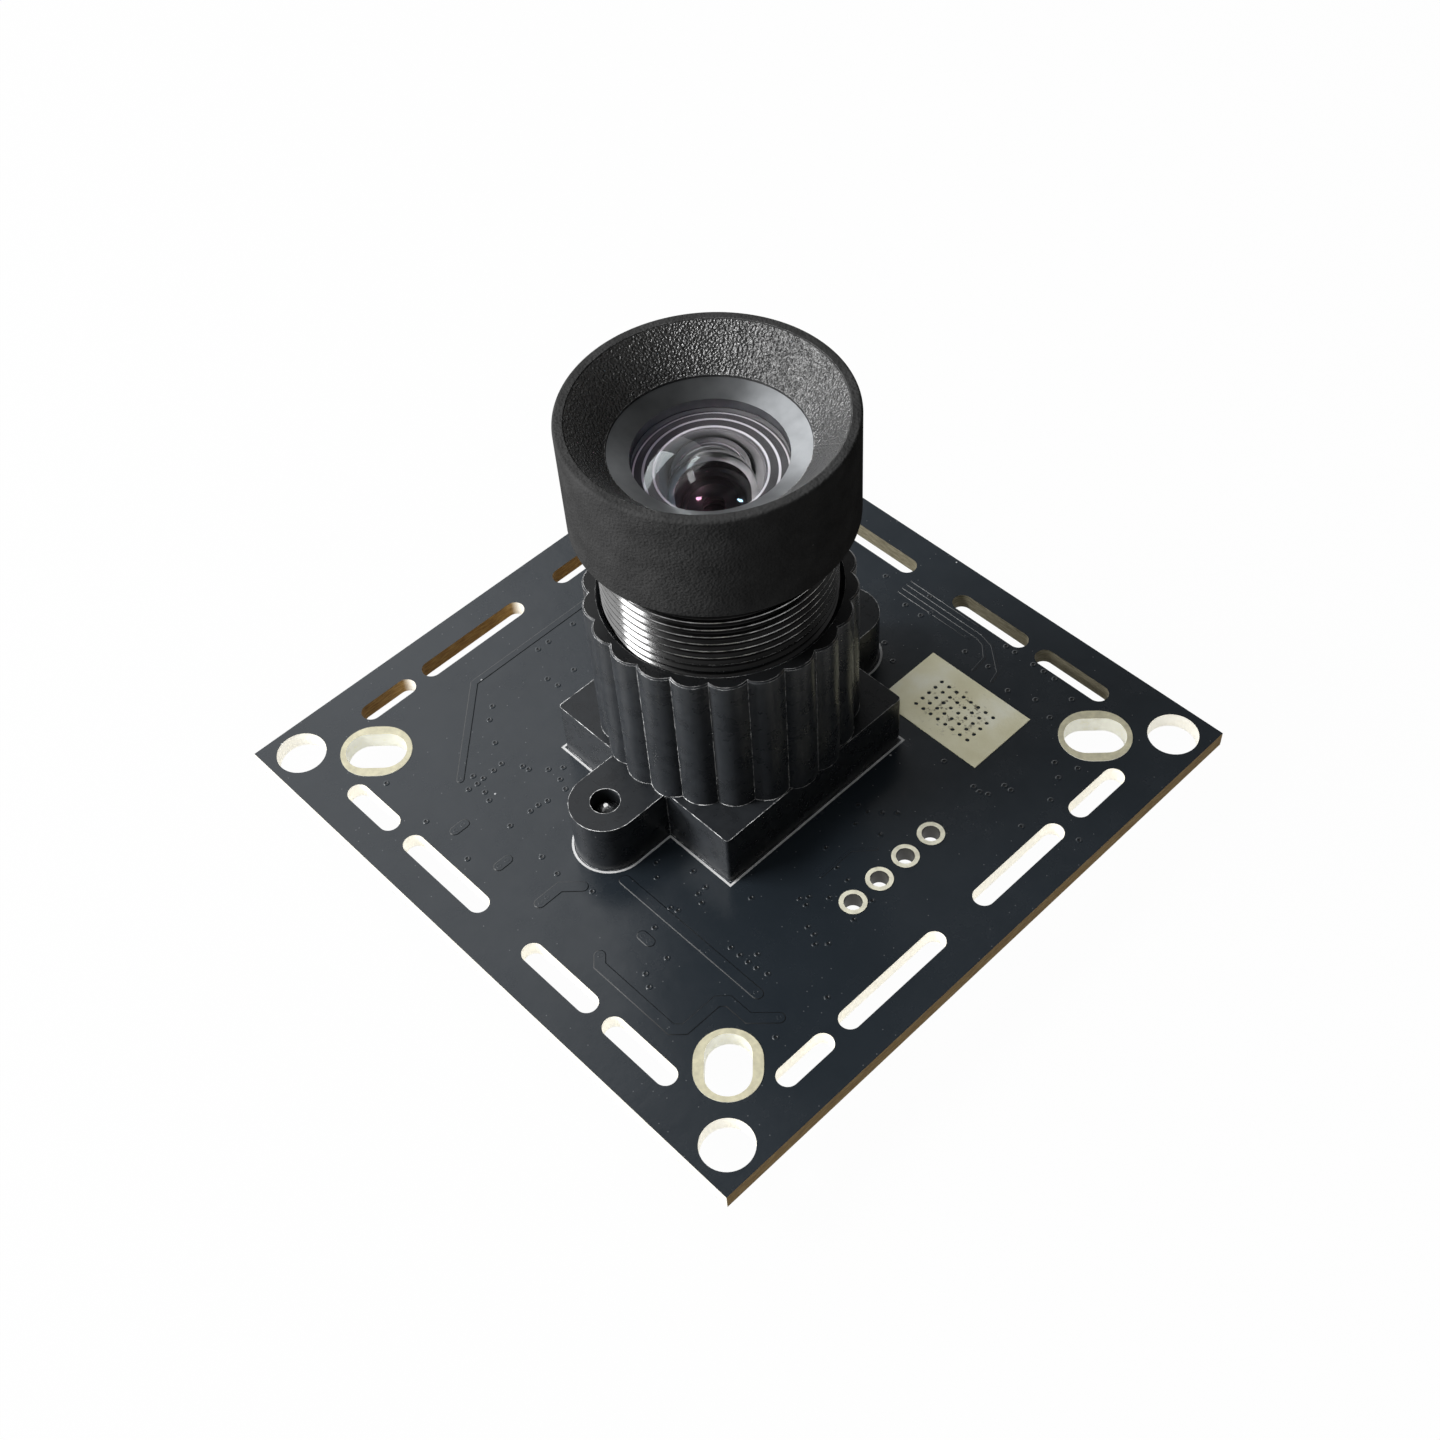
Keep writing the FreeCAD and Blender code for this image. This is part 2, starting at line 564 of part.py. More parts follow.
def make_rear_group(neck_rear):
    """Everything behind the neck, in the order in which it is loaded."""
    parts = {}
    radius = REAR_GROUP_RADIUS
    bore = radius - REAR_SPACER_WALL
    level = neck_rear - THIRD_ELEMENT_EDGE
    parts["third_element"] = lens_element(
        level, THIRD_ELEMENT_EDGE, radius, THIRD_ELEMENT_FRONT, THIRD_ELEMENT_REAR)
    level -= MIDDLE_SPACER_LENGTH
    parts["middle_spacer"] = ring(radius, bore, level, level + MIDDLE_SPACER_LENGTH)
    level -= STOP_THICKNESS
    parts["aperture_stop"] = ring(radius, STOP_RADIUS, level, level + STOP_THICKNESS)
    level -= FOURTH_ELEMENT_EDGE
    parts["fourth_element"] = lens_element(
        level, FOURTH_ELEMENT_EDGE, radius, FOURTH_ELEMENT_FRONT, CEMENTED_SURFACE)
    level -= CEMENT_GAP + FIFTH_ELEMENT_EDGE
    hollow = (CEMENTED_SURFACE[0], -CEMENTED_SURFACE[1])
    parts["fifth_element"] = lens_element(
        level, FIFTH_ELEMENT_EDGE, radius, hollow, FIFTH_ELEMENT_REAR)
    level -= REAR_SPACER_LENGTH
    parts["rear_spacer"] = ring(radius, bore, level, level + REAR_SPACER_LENGTH)
    level -= REAR_ELEMENT_EDGE
    parts["rear_element"] = lens_element(
        level, REAR_ELEMENT_EDGE, radius, REAR_ELEMENT_FRONT, REAR_ELEMENT_REAR)
    ring_front = level
    level -= REAR_RING_LENGTH
    parts["rear_retaining_ring"] = ring(REAR_RING_RADIUS, REAR_RING_BORE, level, ring_front)
    level -= FILTER_THICKNESS
    parts["infrared_filter"] = cylinder(REAR_RING_RADIUS, level, level + FILTER_THICKNESS)
    return parts, ring_front


def thread_outline(low, high):
    """Points of radius and height up the stem: a ridge for each pitch, and a relief under the head."""
    root = THREAD_RADIUS - THREAD_DEPTH
    points = []
    for i in range(int((high - low) / THREAD_PITCH)):
        level = low + i * THREAD_PITCH
        points += [(THREAD_RADIUS, level), (THREAD_RADIUS, level + THREAD_CREST),
                   (root, level + (THREAD_CREST + THREAD_PITCH) / 2)]
    return points + [(root, high)]


def make_lens_barrel(shoulder, ring_front):
    """One turned piece: threaded stem, head and hood, bored to hold both groups."""
    neck_rear = shoulder - NECK_LENGTH
    ring_bore = FRONT_RING_RADIUS + FIT_CLEARANCE
    front_bore = FRONT_GROUP_RADIUS + FIT_CLEARANCE
    rear_bore = REAR_GROUP_RADIUS + FIT_CLEARANCE
    filter_bore = REAR_RING_RADIUS + FIT_CLEARANCE
    barrel = turned([(SNOUT_RADIUS, LENS_REAR), (SNOUT_RADIUS, THREAD_START)]
                    + thread_outline(THREAD_START, HEAD_START) + [
        (HEAD_RADIUS, HEAD_START), (HEAD_RADIUS, RIM),
        (HOOD_MOUTH_RADIUS, RIM), (HOOD_BOTTOM_RADIUS, HOOD_BOTTOM),
        (ring_bore, HOOD_BOTTOM), (ring_bore, FRONT_RING_FLOOR),
        (front_bore, FRONT_RING_FLOOR), (front_bore, shoulder),
        (NECK_RADIUS, shoulder), (NECK_RADIUS, neck_rear),
        (rear_bore, neck_rear), (rear_bore, ring_front),
        (filter_bore, ring_front), (filter_bore, LENS_REAR)])
    rounded = circles(barrel, HEAD_RADIUS, RIM) + circles(barrel, HEAD_RADIUS, HEAD_START)
    return barrel.makeFillet(HEAD_ROUND, rounded)


def bent_lead(level, reach, width):
    """A gull-wing lead, its middle at a level where it leaves the package's side at x = 0."""
    t = LEAD_THICKNESS
    high = level + t / 2
    low = level - t / 2
    knee = LEAD_KNEE_SHARE * reach
    drop = LEAD_DROP_SHARE * reach
    outline = [(-LEAD_ROOT, high), (knee, high), (drop, t), (reach, t), (reach, 0),
               (drop - t, 0), (knee - t / 2, low), (-LEAD_ROOT, low)]
    corners = [Vector(x, -width / 2, z) for x, z in outline]
    face = Part.Face(Part.makePolygon(corners + corners[:1]))
    return face.extrude(Vector(0, width, 0))


def leaded_package(place, length, width, height, slots, lead):
    """A moulded body, widest at its parting line, and a lead for each (along, side) slot there."""
    parting = (height + PACKAGE_STANDOFF) / 2
    sections = []
    for level, inset in ((PACKAGE_STANDOFF, MOULD_DRAFT), (parting, 0.0), (height, MOULD_DRAFT)):
        sections.append(rectangle(length - 2 * inset, width - 2 * inset, level, place))
    body = Part.makeLoft(sections, True, True)
    pitch, lead_width, reach = lead
    leads = []
    for step, side in slots:
        one = bent_lead(parting, reach, lead_width)
        one.rotate(Vector(0, 0, 0), UP, 90 * side)
        one.translate(Vector(place[0] + step * pitch, place[1] + side * width / 2, 0))
        leads.append(one)
    return on_back(body.cut(leads)), [on_back(one) for one in leads]


def make_flash():
    middle = (FLASH_LEADS_PER_SIDE - 1) / 2
    slots = [(i - middle, side) for side in (-1, 1) for i in range(FLASH_LEADS_PER_SIDE)]
    lead = (FLASH_LEAD_PITCH, FLASH_LEAD_WIDTH, FLASH_LEAD_REACH)
    place = inset(1, -1, FLASH_INSET)
    body, leads = leaded_package(place, FLASH_LENGTH, FLASH_WIDTH, FLASH_HEIGHT, slots, lead)
    return body, Part.makeCompound(leads)


def make_regulators():
    lead = (REGULATOR_LEAD_PITCH, REGULATOR_LEAD_WIDTH, REGULATOR_LEAD_REACH)
    bodies, leads = [], []
    for distances in REGULATOR_INSETS:
        body, more = leaded_package(inset(-1, 1, distances), REGULATOR_LENGTH, REGULATOR_WIDTH,
                                    REGULATOR_HEIGHT, REGULATOR_LEADS, lead)
        bodies.append(body)
        leads += more
    return Part.makeCompound(bodies), Part.makeCompound(leads)


def make_processor():
    """A flat square chip, and its terminals round the four sides."""
    body = block(PROCESSOR_SIDE, PROCESSOR_SIDE, 0, PROCESSOR_HEIGHT)
    length = TERMINAL_DEPTH + TERMINAL_REACH
    centre = PROCESSOR_SIDE / 2 + TERMINAL_REACH - length / 2
    first = -(PROCESSOR_TERMINALS - 1) * TERMINAL_PITCH / 2
    terminals = []
    for quarter in range(4):
        for i in range(PROCESSOR_TERMINALS):
            place = (centre, first + i * TERMINAL_PITCH)
            one = block(length, TERMINAL_WIDTH, 0, TERMINAL_THICKNESS, place)
            one.rotate(Vector(0, 0, 0), UP, 90 * quarter)
            terminals.append(one)
    body = body.cut(terminals)
    group = Part.makeCompound(terminals)
    x, y = processor_centre()
    body.translate(Vector(x, y, 0))
    group.translate(Vector(x, y, 0))
    return on_back(body), on_back(group)


def make_crystal():
    """A low ceramic base with the metal lid set in from its edge."""
    base = block(CRYSTAL_LENGTH, CRYSTAL_WIDTH, 0, CRYSTAL_BASE_HEIGHT, CRYSTAL_PLACE)
    lid = block(CRYSTAL_LENGTH - 2 * CRYSTAL_LID_STEP, CRYSTAL_WIDTH - 2 * CRYSTAL_LID_STEP,
                CRYSTAL_BASE_HEIGHT, CRYSTAL_HEIGHT, CRYSTAL_PLACE)
    return on_back(base.fuse(lid))


def make_inductors():
    """Moulded blocks with a round top, on a flat square base."""
    made = []
    for distances in INDUCTOR_INSETS:
        place = inset(-1, -1, distances)
        base = block(INDUCTOR_SIDE, INDUCTOR_SIDE, 0, INDUCTOR_BASE_HEIGHT, place)
        uprights = [e for e in base.Edges if e.BoundBox.ZLength > INDUCTOR_BASE_HEIGHT / 2]
        base = base.makeFillet(INDUCTOR_CORNER, uprights)
        drum_radius = INDUCTOR_SIDE / 2 - INDUCTOR_DRUM_INSET
        drum = cylinder(drum_radius, INDUCTOR_BASE_HEIGHT, INDUCTOR_HEIGHT, place)
        made.append(on_back(base.fuse(drum)))
    return Part.makeCompound(made)


def chip_part(length, width, height):
    """A small block with a metal cap on each end, a little larger than the block."""
    cap = length * TERMINATION_SHARE
    body = block(length, width, TERMINATION_LIP, height)
    ends = [block(cap, width + 2 * TERMINATION_LIP, 0, height + TERMINATION_LIP,
                  (side * (length - cap) / 2, 0)) for side in (-1, 1)]
    return body.fuse(ends)


def chip_row(chip, first, step, count, turn=0.0):
    """Copies of a chip part in a row on the board's back, each turned by so many degrees."""
    made = []
    for i in range(count):
        one = chip.copy()
        one.rotate(Vector(0, 0, 0), UP, turn)
        one.translate(Vector(first[0] + i * step[0], first[1] + i * step[1], 0))
        made.append(on_back(one))
    return made


def make_capacitors():
    chip = chip_part(CAPACITOR_LENGTH, CAPACITOR_WIDTH, CAPACITOR_HEIGHT)
    distances, step = PROCESSOR_CAPACITORS
    made = chip_row(chip, inset(1, 1, distances), step, PROCESSOR_CAPACITOR_COUNT)
    distances, step = LOWER_CAPACITORS
    made += chip_row(chip, inset(-1, -1, distances), step, LOWER_CAPACITOR_COUNT)
    distances, step = INDUCTOR_CAPACITORS
    made += chip_row(chip, inset(-1, -1, distances), step, INDUCTOR_CAPACITOR_COUNT, 90)
    distances, step = REGULATOR_CAPACITORS
    made += chip_row(chip, inset(-1, 1, distances), step, REGULATOR_CAPACITOR_COUNT)
    first, step = MIDDLE_CAPACITORS
    made += chip_row(chip, first, step, MIDDLE_CAPACITOR_COUNT, 90)
    return Part.makeCompound(made)


def make_resistors():
    chip = chip_part(RESISTOR_LENGTH, RESISTOR_WIDTH, RESISTOR_HEIGHT)
    distances, step = FLASH_RESISTORS
    made = chip_row(chip, inset(1, -1, distances), step, FLASH_RESISTOR_COUNT, 90)
    gap, pitch = CONNECTOR_RESISTORS
    first_y = -(CONNECTOR_RESISTOR_COUNT - 1) * pitch / 2
    made += chip_row(chip, (CONNECTOR_REAR_X + gap, first_y), (0, pitch), CONNECTOR_RESISTOR_COUNT)
    first, step = MIDDLE_RESISTORS
    made += chip_row(chip, first, step, MIDDLE_RESISTOR_COUNT, 90)
    return Part.makeCompound(made)


def make_connector():
    """A side-entry socket for a cable: the housing, its contacts and its solder tabs."""
    rear_x = CONNECTOR_REAR_X
    middle_x = (CONNECTOR_MOUTH_X + rear_x) / 2
    housing = block(CONNECTOR_DEPTH, CONNECTOR_WIDTH, 0, CONNECTOR_HEIGHT, (middle_x, 0))
    hollow_depth = CONNECTOR_DEPTH - CONNECTOR_BACK_WALL
    hollow_x = CONNECTOR_MOUTH_X + hollow_depth / 2
    hollow_top = CONNECTOR_HEIGHT - CONNECTOR_WALL
    hollow = block(hollow_depth, CONNECTOR_WIDTH - 2 * CONNECTOR_WALL,
                   CONNECTOR_WALL, hollow_top, (hollow_x, 0))
    key_place = CONNECTOR_WIDTH / 2 - CONNECTOR_WALL - KEY_SLOT_WIDTH
    keys = [block(KEY_SLOT_LENGTH, KEY_SLOT_WIDTH, hollow_top, CONNECTOR_HEIGHT,
                  (CONNECTOR_MOUTH_X + KEY_SLOT_LENGTH / 2, side * key_place)) for side in (-1, 1)]
    contacts = []
    pin_level = (CONNECTOR_WALL + hollow_top) / 2
    pin_start = rear_x - CONNECTOR_BACK_WALL - CONTACT_PIN_LENGTH
    for i in range(CONTACT_COUNT):
        y = (i - (CONTACT_COUNT - 1) / 2) * CONTACT_PITCH
        end = rear_x + CONTACT_TAIL
        pin = block(rear_x + CONTACT_WIDTH - pin_start, CONTACT_WIDTH, pin_level - CONTACT_WIDTH / 2,
                    pin_level + CONTACT_WIDTH / 2, ((pin_start + rear_x + CONTACT_WIDTH) / 2, y))
        leg = block(CONTACT_WIDTH, CONTACT_WIDTH, 0, pin_level + CONTACT_WIDTH / 2,
                    (rear_x + CONTACT_WIDTH / 2, y))
        tail = block(end - rear_x, CONTACT_WIDTH, 0, CONTACT_WIDTH / 2, ((rear_x + end) / 2, y))
        contacts.append(pin.fuse([leg, tail]).removeSplitter())
    housing = housing.cut([hollow] + keys + contacts)
    tabs = []
    for side in (-1, 1):
        foot_y = side * (CONNECTOR_WIDTH / 2 + TAB_REACH / 2)
        wall_y = side * (CONNECTOR_WIDTH / 2 + TAB_THICKNESS / 2)
        foot = block(TAB_LENGTH, TAB_REACH, 0, TAB_THICKNESS, (middle_x, foot_y))
        wall = block(TAB_LENGTH, TAB_THICKNESS, 0, TAB_HEIGHT, (middle_x, wall_y))
        tabs.append(on_back(foot.fuse(wall).removeSplitter()))
    return (on_back(housing), Part.makeCompound([on_back(c) for c in contacts]),
            Part.makeCompound(tabs))


def make_parts():
    parts = {"pcb": make_board()}
    parts["slot_hole_plating"] = make_slot_hole_plating()
    parts["header_hole_plating"] = make_header_hole_plating()
    parts["heat_pad"] = make_heat_pad()
    parts["lens_holder"] = make_lens_holder()
    parts["holder_screws"] = make_holder_screws()
    parts["image_sensor"], parts["sensor_die"], parts["sensor_cover_glass"] = make_sensor()
    front_group, shoulder = make_front_group()
    rear_group, ring_front = make_rear_group(shoulder - NECK_LENGTH)
    parts["lens_barrel"] = make_lens_barrel(shoulder, ring_front)
    parts.update(front_group)
    parts.update(rear_group)
    parts["video_processor"], parts["processor_terminals"] = make_processor()
    parts["flash_memory"], parts["flash_leads"] = make_flash()
    parts["voltage_regulators"], parts["regulator_leads"] = make_regulators()
    parts["clock_crystal"] = make_crystal()
    parts["power_inductors"] = make_inductors()
    parts["ceramic_capacitors"] = make_capacitors()
    parts["chip_resistors"] = make_resistors()
    parts["cable_connector"], parts["connector_contacts"], parts["connector_tabs"] = make_connector()
    return parts


def main():
    os.makedirs("parts", exist_ok=True)
    for name, shape in make_parts().items():
        shape.exportStep("parts/" + name + ".step")


main()
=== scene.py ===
import math

import bmesh
import bpy
from mathutils import Matrix, Vector


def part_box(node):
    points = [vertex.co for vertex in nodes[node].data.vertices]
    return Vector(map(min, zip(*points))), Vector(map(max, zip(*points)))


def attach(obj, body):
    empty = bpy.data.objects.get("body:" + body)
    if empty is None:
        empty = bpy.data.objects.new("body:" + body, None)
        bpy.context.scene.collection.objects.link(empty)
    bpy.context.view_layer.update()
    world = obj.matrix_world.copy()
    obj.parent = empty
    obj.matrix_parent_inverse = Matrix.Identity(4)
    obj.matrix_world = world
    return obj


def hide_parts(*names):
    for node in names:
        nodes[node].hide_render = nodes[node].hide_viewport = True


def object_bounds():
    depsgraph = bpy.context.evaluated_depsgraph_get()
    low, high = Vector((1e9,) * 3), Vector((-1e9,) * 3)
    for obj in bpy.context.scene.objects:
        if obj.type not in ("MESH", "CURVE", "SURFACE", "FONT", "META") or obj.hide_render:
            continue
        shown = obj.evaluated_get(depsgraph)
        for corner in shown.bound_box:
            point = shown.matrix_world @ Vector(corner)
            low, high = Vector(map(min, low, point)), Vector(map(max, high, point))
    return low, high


# The looks of a board camera module. Lengths below are in millimetres; MM turns them into metres.
# +Z is the way the lens looks, and the board's front face is one board thickness above z = 0.
MM = 0.001

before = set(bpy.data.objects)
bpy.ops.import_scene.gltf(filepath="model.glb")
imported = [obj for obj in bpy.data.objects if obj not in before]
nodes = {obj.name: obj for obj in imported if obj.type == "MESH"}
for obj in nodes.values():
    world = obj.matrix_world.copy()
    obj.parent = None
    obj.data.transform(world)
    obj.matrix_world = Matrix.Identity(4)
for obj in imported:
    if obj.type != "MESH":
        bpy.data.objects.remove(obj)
cad_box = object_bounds()


def low_of(node):
    """The low corner of a node's box, in millimetres."""
    return [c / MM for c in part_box(node)[0]]


def high_of(node):
    """The high corner of a node's box, in millimetres."""
    return [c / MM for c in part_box(node)[1]]


# Levels and radii read from the frame
FACE = high_of("pcb")[2]
BARREL_REAR = low_of("lens_barrel")[2]
HEAD_RADIUS, _, RIM = high_of("lens_barrel")
RING_RADIUS = high_of("front_retaining_ring")[0]
RING_FLOOR = low_of("front_retaining_ring")[2]
FRONT_GROUP_RADIUS = high_of("front_element")[0]
FRONT_GLASS_REAR = low_of("front_element")[2]
SHOULDER = low_of("second_element")[2]
REAR_GROUP_RADIUS = high_of("middle_spacer")[0]
HOLDER_TOP = high_of("lens_holder")[2]
REAR_RING_RADIUS, _, REAR_RING_TOP = high_of("rear_retaining_ring")

# Lens barrel
FIT_GAP = 0.02
HEAD_LENGTH = 6.15
HEAD_ROUND = 0.15
RIM_WIDTH = 0.55
RIM_EDGE = 0.05
HOOD_DEPTH = 2.0
HOOD_SEAT_GAP = 0.05
SNOUT_LENGTH = 2.4
SNOUT_RADIUS = 5.2
NECK_RADIUS = 2.5
NECK_LENGTH = 0.6
THREAD_CREST = 6.0
THREAD_PITCH = 0.5
THREAD_DEPTH = 0.3

# Faces round a surface of revolution
TURN_STEPS = 288

# How far the visible glass stays clear of the faces that it rests on
LIFT = 0.01

# Front and second glass: the edge's length, then for each side the rim's width and the middle's rise
FRONT_GLASS = (1.5, (0.66, 1.05), (2.1, -1.35))
SECOND_GLASS = (1.2, (1.8, -0.25), (2.0, -0.35))

# Their ground bevels and the bands of their rear rims, as make_glass takes them
FRONT_BEVEL = (0.3, 3.45)
SECOND_BEVEL = (0.9, 4.2)
FRONT_BANDS = (0.1, 0.18, 0.5, 0.6, 0.92)
SECOND_BANDS = (0.5,)
GLASS_TINT = (0.98, 0.985, 0.98)
GLASS_INDEX = 1.6

# The glass behind them hardly bends light, so that its touching faces leave no specks
INNER_INDEX = 1.04

# Printed outline round the holder, on the board's front
FOOT_HALF = 6.55
EAR_PLACE = 9.05
EAR_RADIUS = 1.95
PRINT_WIDTH = 0.13
PRINT_GAP = 0.06
PRINT_HEIGHT = 0.012
PRINT_SLOPE = 0.004

# Copper tracks that show as low ridges under the solder mask: width, then the corners. Thin tracks have
# slopes half as wide as the others
TRACK_HEIGHT = 0.02
TRACK_SLOPE = 0.05
THIN_TRACK = 0.3
TRACKS = (
    (0.46, ((-13.95, 3.0), (-13.95, -7.1), (-9.1, -12.1))),
    (0.66, ((2.4, -10.28), (12.3, -10.28))),
    (0.66, ((4.9, -14.3), (5.35, -14.7), (10.65, -14.7), (11.15, -14.2), (11.15, -12.0), (11.55, -11.58),
            (12.95, -11.58), (14.05, -10.5))),
    (0.66, ((0.25, -14.35), (0.25, -12.95), (1.1, -12.1))),
    (0.62, ((-6.62, -13.85), (-6.62, -14.5))),
    (0.62, ((-3.1, -13.75), (-3.1, -14.35))),
    (0.62, ((5.6, -11.97), (6.15, -11.97))),
    (0.17, ((-1.0, 15.5), (4.7, 15.5), (5.7, 15.25), (7.25, 13.95), (7.45, 13.2))),
    (0.17, ((-1.0, 15.12), (4.7, 15.12), (5.3, 14.95), (6.0, 14.25), (6.15, 13.1))),
    (0.17, ((-1.0, 14.74), (4.4, 14.74))),
    (0.17, ((-1.0, 15.88), (4.2, 15.88))),
    (0.17, ((9.7, -3.0), (9.7, -0.7), (10.6, 0.3))),
    (0.17, ((-15.3, 6.0), (-15.3, 9.6), (-14.6, 10.4))),
    (0.17, ((-14.9, 6.0), (-14.9, 9.4), (-14.2, 10.1))),
)

# Via holes, filled by the solder mask
VIA_RADIUS = 0.19
VIAS = (
    (-11.85, -7.5), (-11.2, -8.25), (-9.7, -9.1), (-8.3, -9.8), (-8.25, -10.4), (-8.25, -11.15),
    (-8.2, -11.62), (-8.78, -11.45), (-7.45, -11.7), (-6.85, -11.9), (-8.25, -12.2), (-9.15, -12.1),
    (-5.6, -7.6), (-6.1, -8.25), (-5.1, -8.25), (-4.4, -8.5), (-6.9, -9.0), (-7.3, -9.1), (-4.5, -9.7),
    (-4.65, -10.25), (-4.65, -10.8), (-4.7, -12.2), (-8.25, -15.2), (-4.7, -15.2), (-1.9, -12.35),
    (-0.5, -12.5), (1.7, -11.95), (-6.62, -13.95), (-6.62, -14.45), (-3.1, -13.8), (-3.1, -14.32),
    (0.25, -13.85), (0.25, -14.3), (-13.2, -0.2), (-13.2, -2.1), (-13.2, -2.9), (-10.5, -2.5),
    (-10.3, -3.9), (-11.1, -4.0), (5.8, -7.65), (5.8, -8.2), (6.35, -8.45), (3.5, -9.0), (2.8, -8.4),
    (4.6, -7.4), (5.8, -9.65), (5.4, -9.8), (8.0, -6.45), (8.7, -10.28), (9.4, -9.3), (10.05, -9.3),
    (10.65, -9.3), (11.2, -9.25), (11.85, -9.1), (10.65, -8.65), (14.95, -8.0), (14.7, -11.4), (7.5, -12.0),
    (7.4, -13.4), (8.1, -13.8), (5.65, -11.97), (6.1, -11.97), (12.2, -10.28), (14.05, -10.48),
    (4.92, -14.27), (5.7, -11.2), (11.35, -5.7), (11.9, -5.8), (12.35, -6.2), (12.8, -5.7), (10.1, -4.35),
    (9.85, -4.75), (10.35, -4.8), (10.9, -3.65), (12.75, -3.75), (10.85, -2.2), (12.65, -2.25), (9.9, -2.0),
    (8.6, -1.5), (8.65, 0.7), (10.1, 1.1), (8.6, 1.7), (7.9, 1.7), (9.2, 2.2), (9.8, 2.75), (9.3, 7.1),
    (11.6, 6.9), (12.05, 6.85), (12.5, 7.05), (15.15, 6.65), (12.75, 8.1), (13.2, 8.1), (15.15, 9.05),
    (14.5, 10.5), (14.85, 11.7), (13.7, 11.15), (11.55, 15.25), (11.5, 13.4), (8.55, 13.3), (10.1, 13.85),
    (4.9, 13.85), (6.6, 13.9), (1.2, 14.2), (0.0, 14.2), (2.4, 10.5), (1.1, 11.2), (0.6, 15.65),
    (1.5, 14.75), (8.35, 15.75), (7.0, 15.75), (6.35, 15.75), (9.1, 15.75), (9.9, 15.75), (17.9, 8.05),
    (-12.4, 6.2), (-11.6, 8.8), (-13.6, 9.4), (-9.6, 10.9), (-12.1, 11.4), (-8.2, 12.6), (-10.4, 13.8),
    (-6.3, 13.1), (-4.9, 14.6), (-7.9, 14.9), (-3.2, 13.2), (-2.4, 15.1), (-11.9, -15.1), (-12.6, 1.4),
)

# The bare laminate is brown on three of the board's edges and in the slots along its left edge, as painted
# shade where they face away from the light, and tan in the slots along its far edge; elsewhere it is a pale
# cream, the painted lit
# side: where the edges and the slots start, and how far along the slots reach
BROWN_BEYOND = 18.9
SLOTS_BEYOND = 15.5
SLOTS_WITHIN = 14.5

# A painted glow on the pale cream laminate walls, as a share of white
PAINTED_EDGE_GLOW = 0.45

# Camera, as fitted to the corners of the board in the photograph
CAMERA_AZIMUTH = 49.581
CAMERA_ELEVATION = 51.018
CAMERA_ROLL = -4.828
CAMERA_DISTANCE = 106.149
CAMERA_TARGET = (-1.711, 0.702, 1.0)
SENSOR_WIDTH = 36.0
FOCAL_LENGTH = 47.377

# The floor's brightness, and how much of it is seen as white and not as a matt surface
FLOOR_WHITE = 1.03
FLOOR_SEEN = 0.95

# The room that metal and glass mirror: its grey by height, then its strength on the right and on the left
ROOM_HEIGHTS = ((0.0, 1.0), (0.28, 1.0), (0.5, 0.47), (0.75, 0.155), (0.92, 0.072), (1.0, 0.089))
ROOM_SIDES = (0.32, 1.8)

# Lamps face this level on the lens axis
LAMP_AIM = 10.0
WHITE = (1.0, 1.0, 1.0)


# Node helpers

def new_material(name):
    material = bpy.data.materials.new(name)
    material.use_nodes = True
    tree = material.node_tree
    return material, tree, tree.nodes["Principled BSDF"]


def add(tree, kind, **settings):
    """A node; settings are attributes of the node, or values of its inputs by name."""
    made = tree.nodes.new(kind)
    for key, value in settings.items():
        if hasattr(made, key):
            setattr(made, key, value)
        else:
            made.inputs[key.replace("_", " ")].default_value = value
    return made


def join(tree, operation, first, second):
    """A sum, product or the like of two sockets, or of a socket and a number."""
    made = add(tree, "ShaderNodeMath", operation=operation)
    tree.links.new(first, made.inputs[0])
    if isinstance(second, float):
        made.inputs[1].default_value = second
    else:
        tree.links.new(second, made.inputs[1])
    return made.outputs["Value"]


def within(tree, number, reach):
    """1 where a number lies within this reach of zero."""
    made = add(tree, "ShaderNodeMath", operation="COMPARE")
    tree.links.new(number, made.inputs[0])
    made.inputs[1].default_value = 0.0
    made.inputs[2].default_value = reach
    return made.outputs["Value"]


def parts(tree, vector):
    """The X, Y and Z of a vector."""
    made = add(tree, "ShaderNodeSeparateXYZ")
    tree.links.new(vector, made.inputs["Vector"])
    return made.outputs["X"], made.outputs["Y"], made.outputs["Z"]


def length(tree, vector):
    made = add(tree, "ShaderNodeVectorMath", operation="LENGTH")
    tree.links.new(vector, made.inputs[0])
    return made.outputs["Value"]


def true_normal(tree):
    """The Y of a face's normal, and the size of its Z."""
    _, y, z = parts(tree, add(tree, "ShaderNodeNewGeometry").outputs["True Normal"])
    size = add(tree, "ShaderNodeMath", operation="ABSOLUTE")
    tree.links.new(z, size.inputs[0])
    return y, size.outputs["Value"]


def coordinates(tree):
    return add(tree, "ShaderNodeTexCoord").outputs["Object"]


def noise(tree, vector, scale, detail=2.0, roughness=0.5):
    made = add(tree, "ShaderNodeTexNoise", Scale=scale, Detail=detail, Roughness=roughness)
    tree.links.new(vector, made.inputs["Vector"])
    return made.outputs["Fac"]


def stretched(tree, vector, scales):
    made = add(tree, "ShaderNodeMapping")
    made.inputs["Scale"].default_value = scales
    tree.links.new(vector, made.inputs["Vector"])
    return made.outputs["Vector"]


def ramp(tree, factor, stops):
    made = add(tree, "ShaderNodeValToRGB")
    elements = made.color_ramp.elements
    elements[0].position, elements[0].color = stops[0][0], (*stops[0][1], 1)
    elements[1].position, elements[1].color = stops[-1][0], (*stops[-1][1], 1)
    for position, colour in stops[1:-1]:
        elements.new(position).color = (*colour, 1)
    tree.links.new(factor, made.inputs["Fac"])
    return made.outputs["Color"]


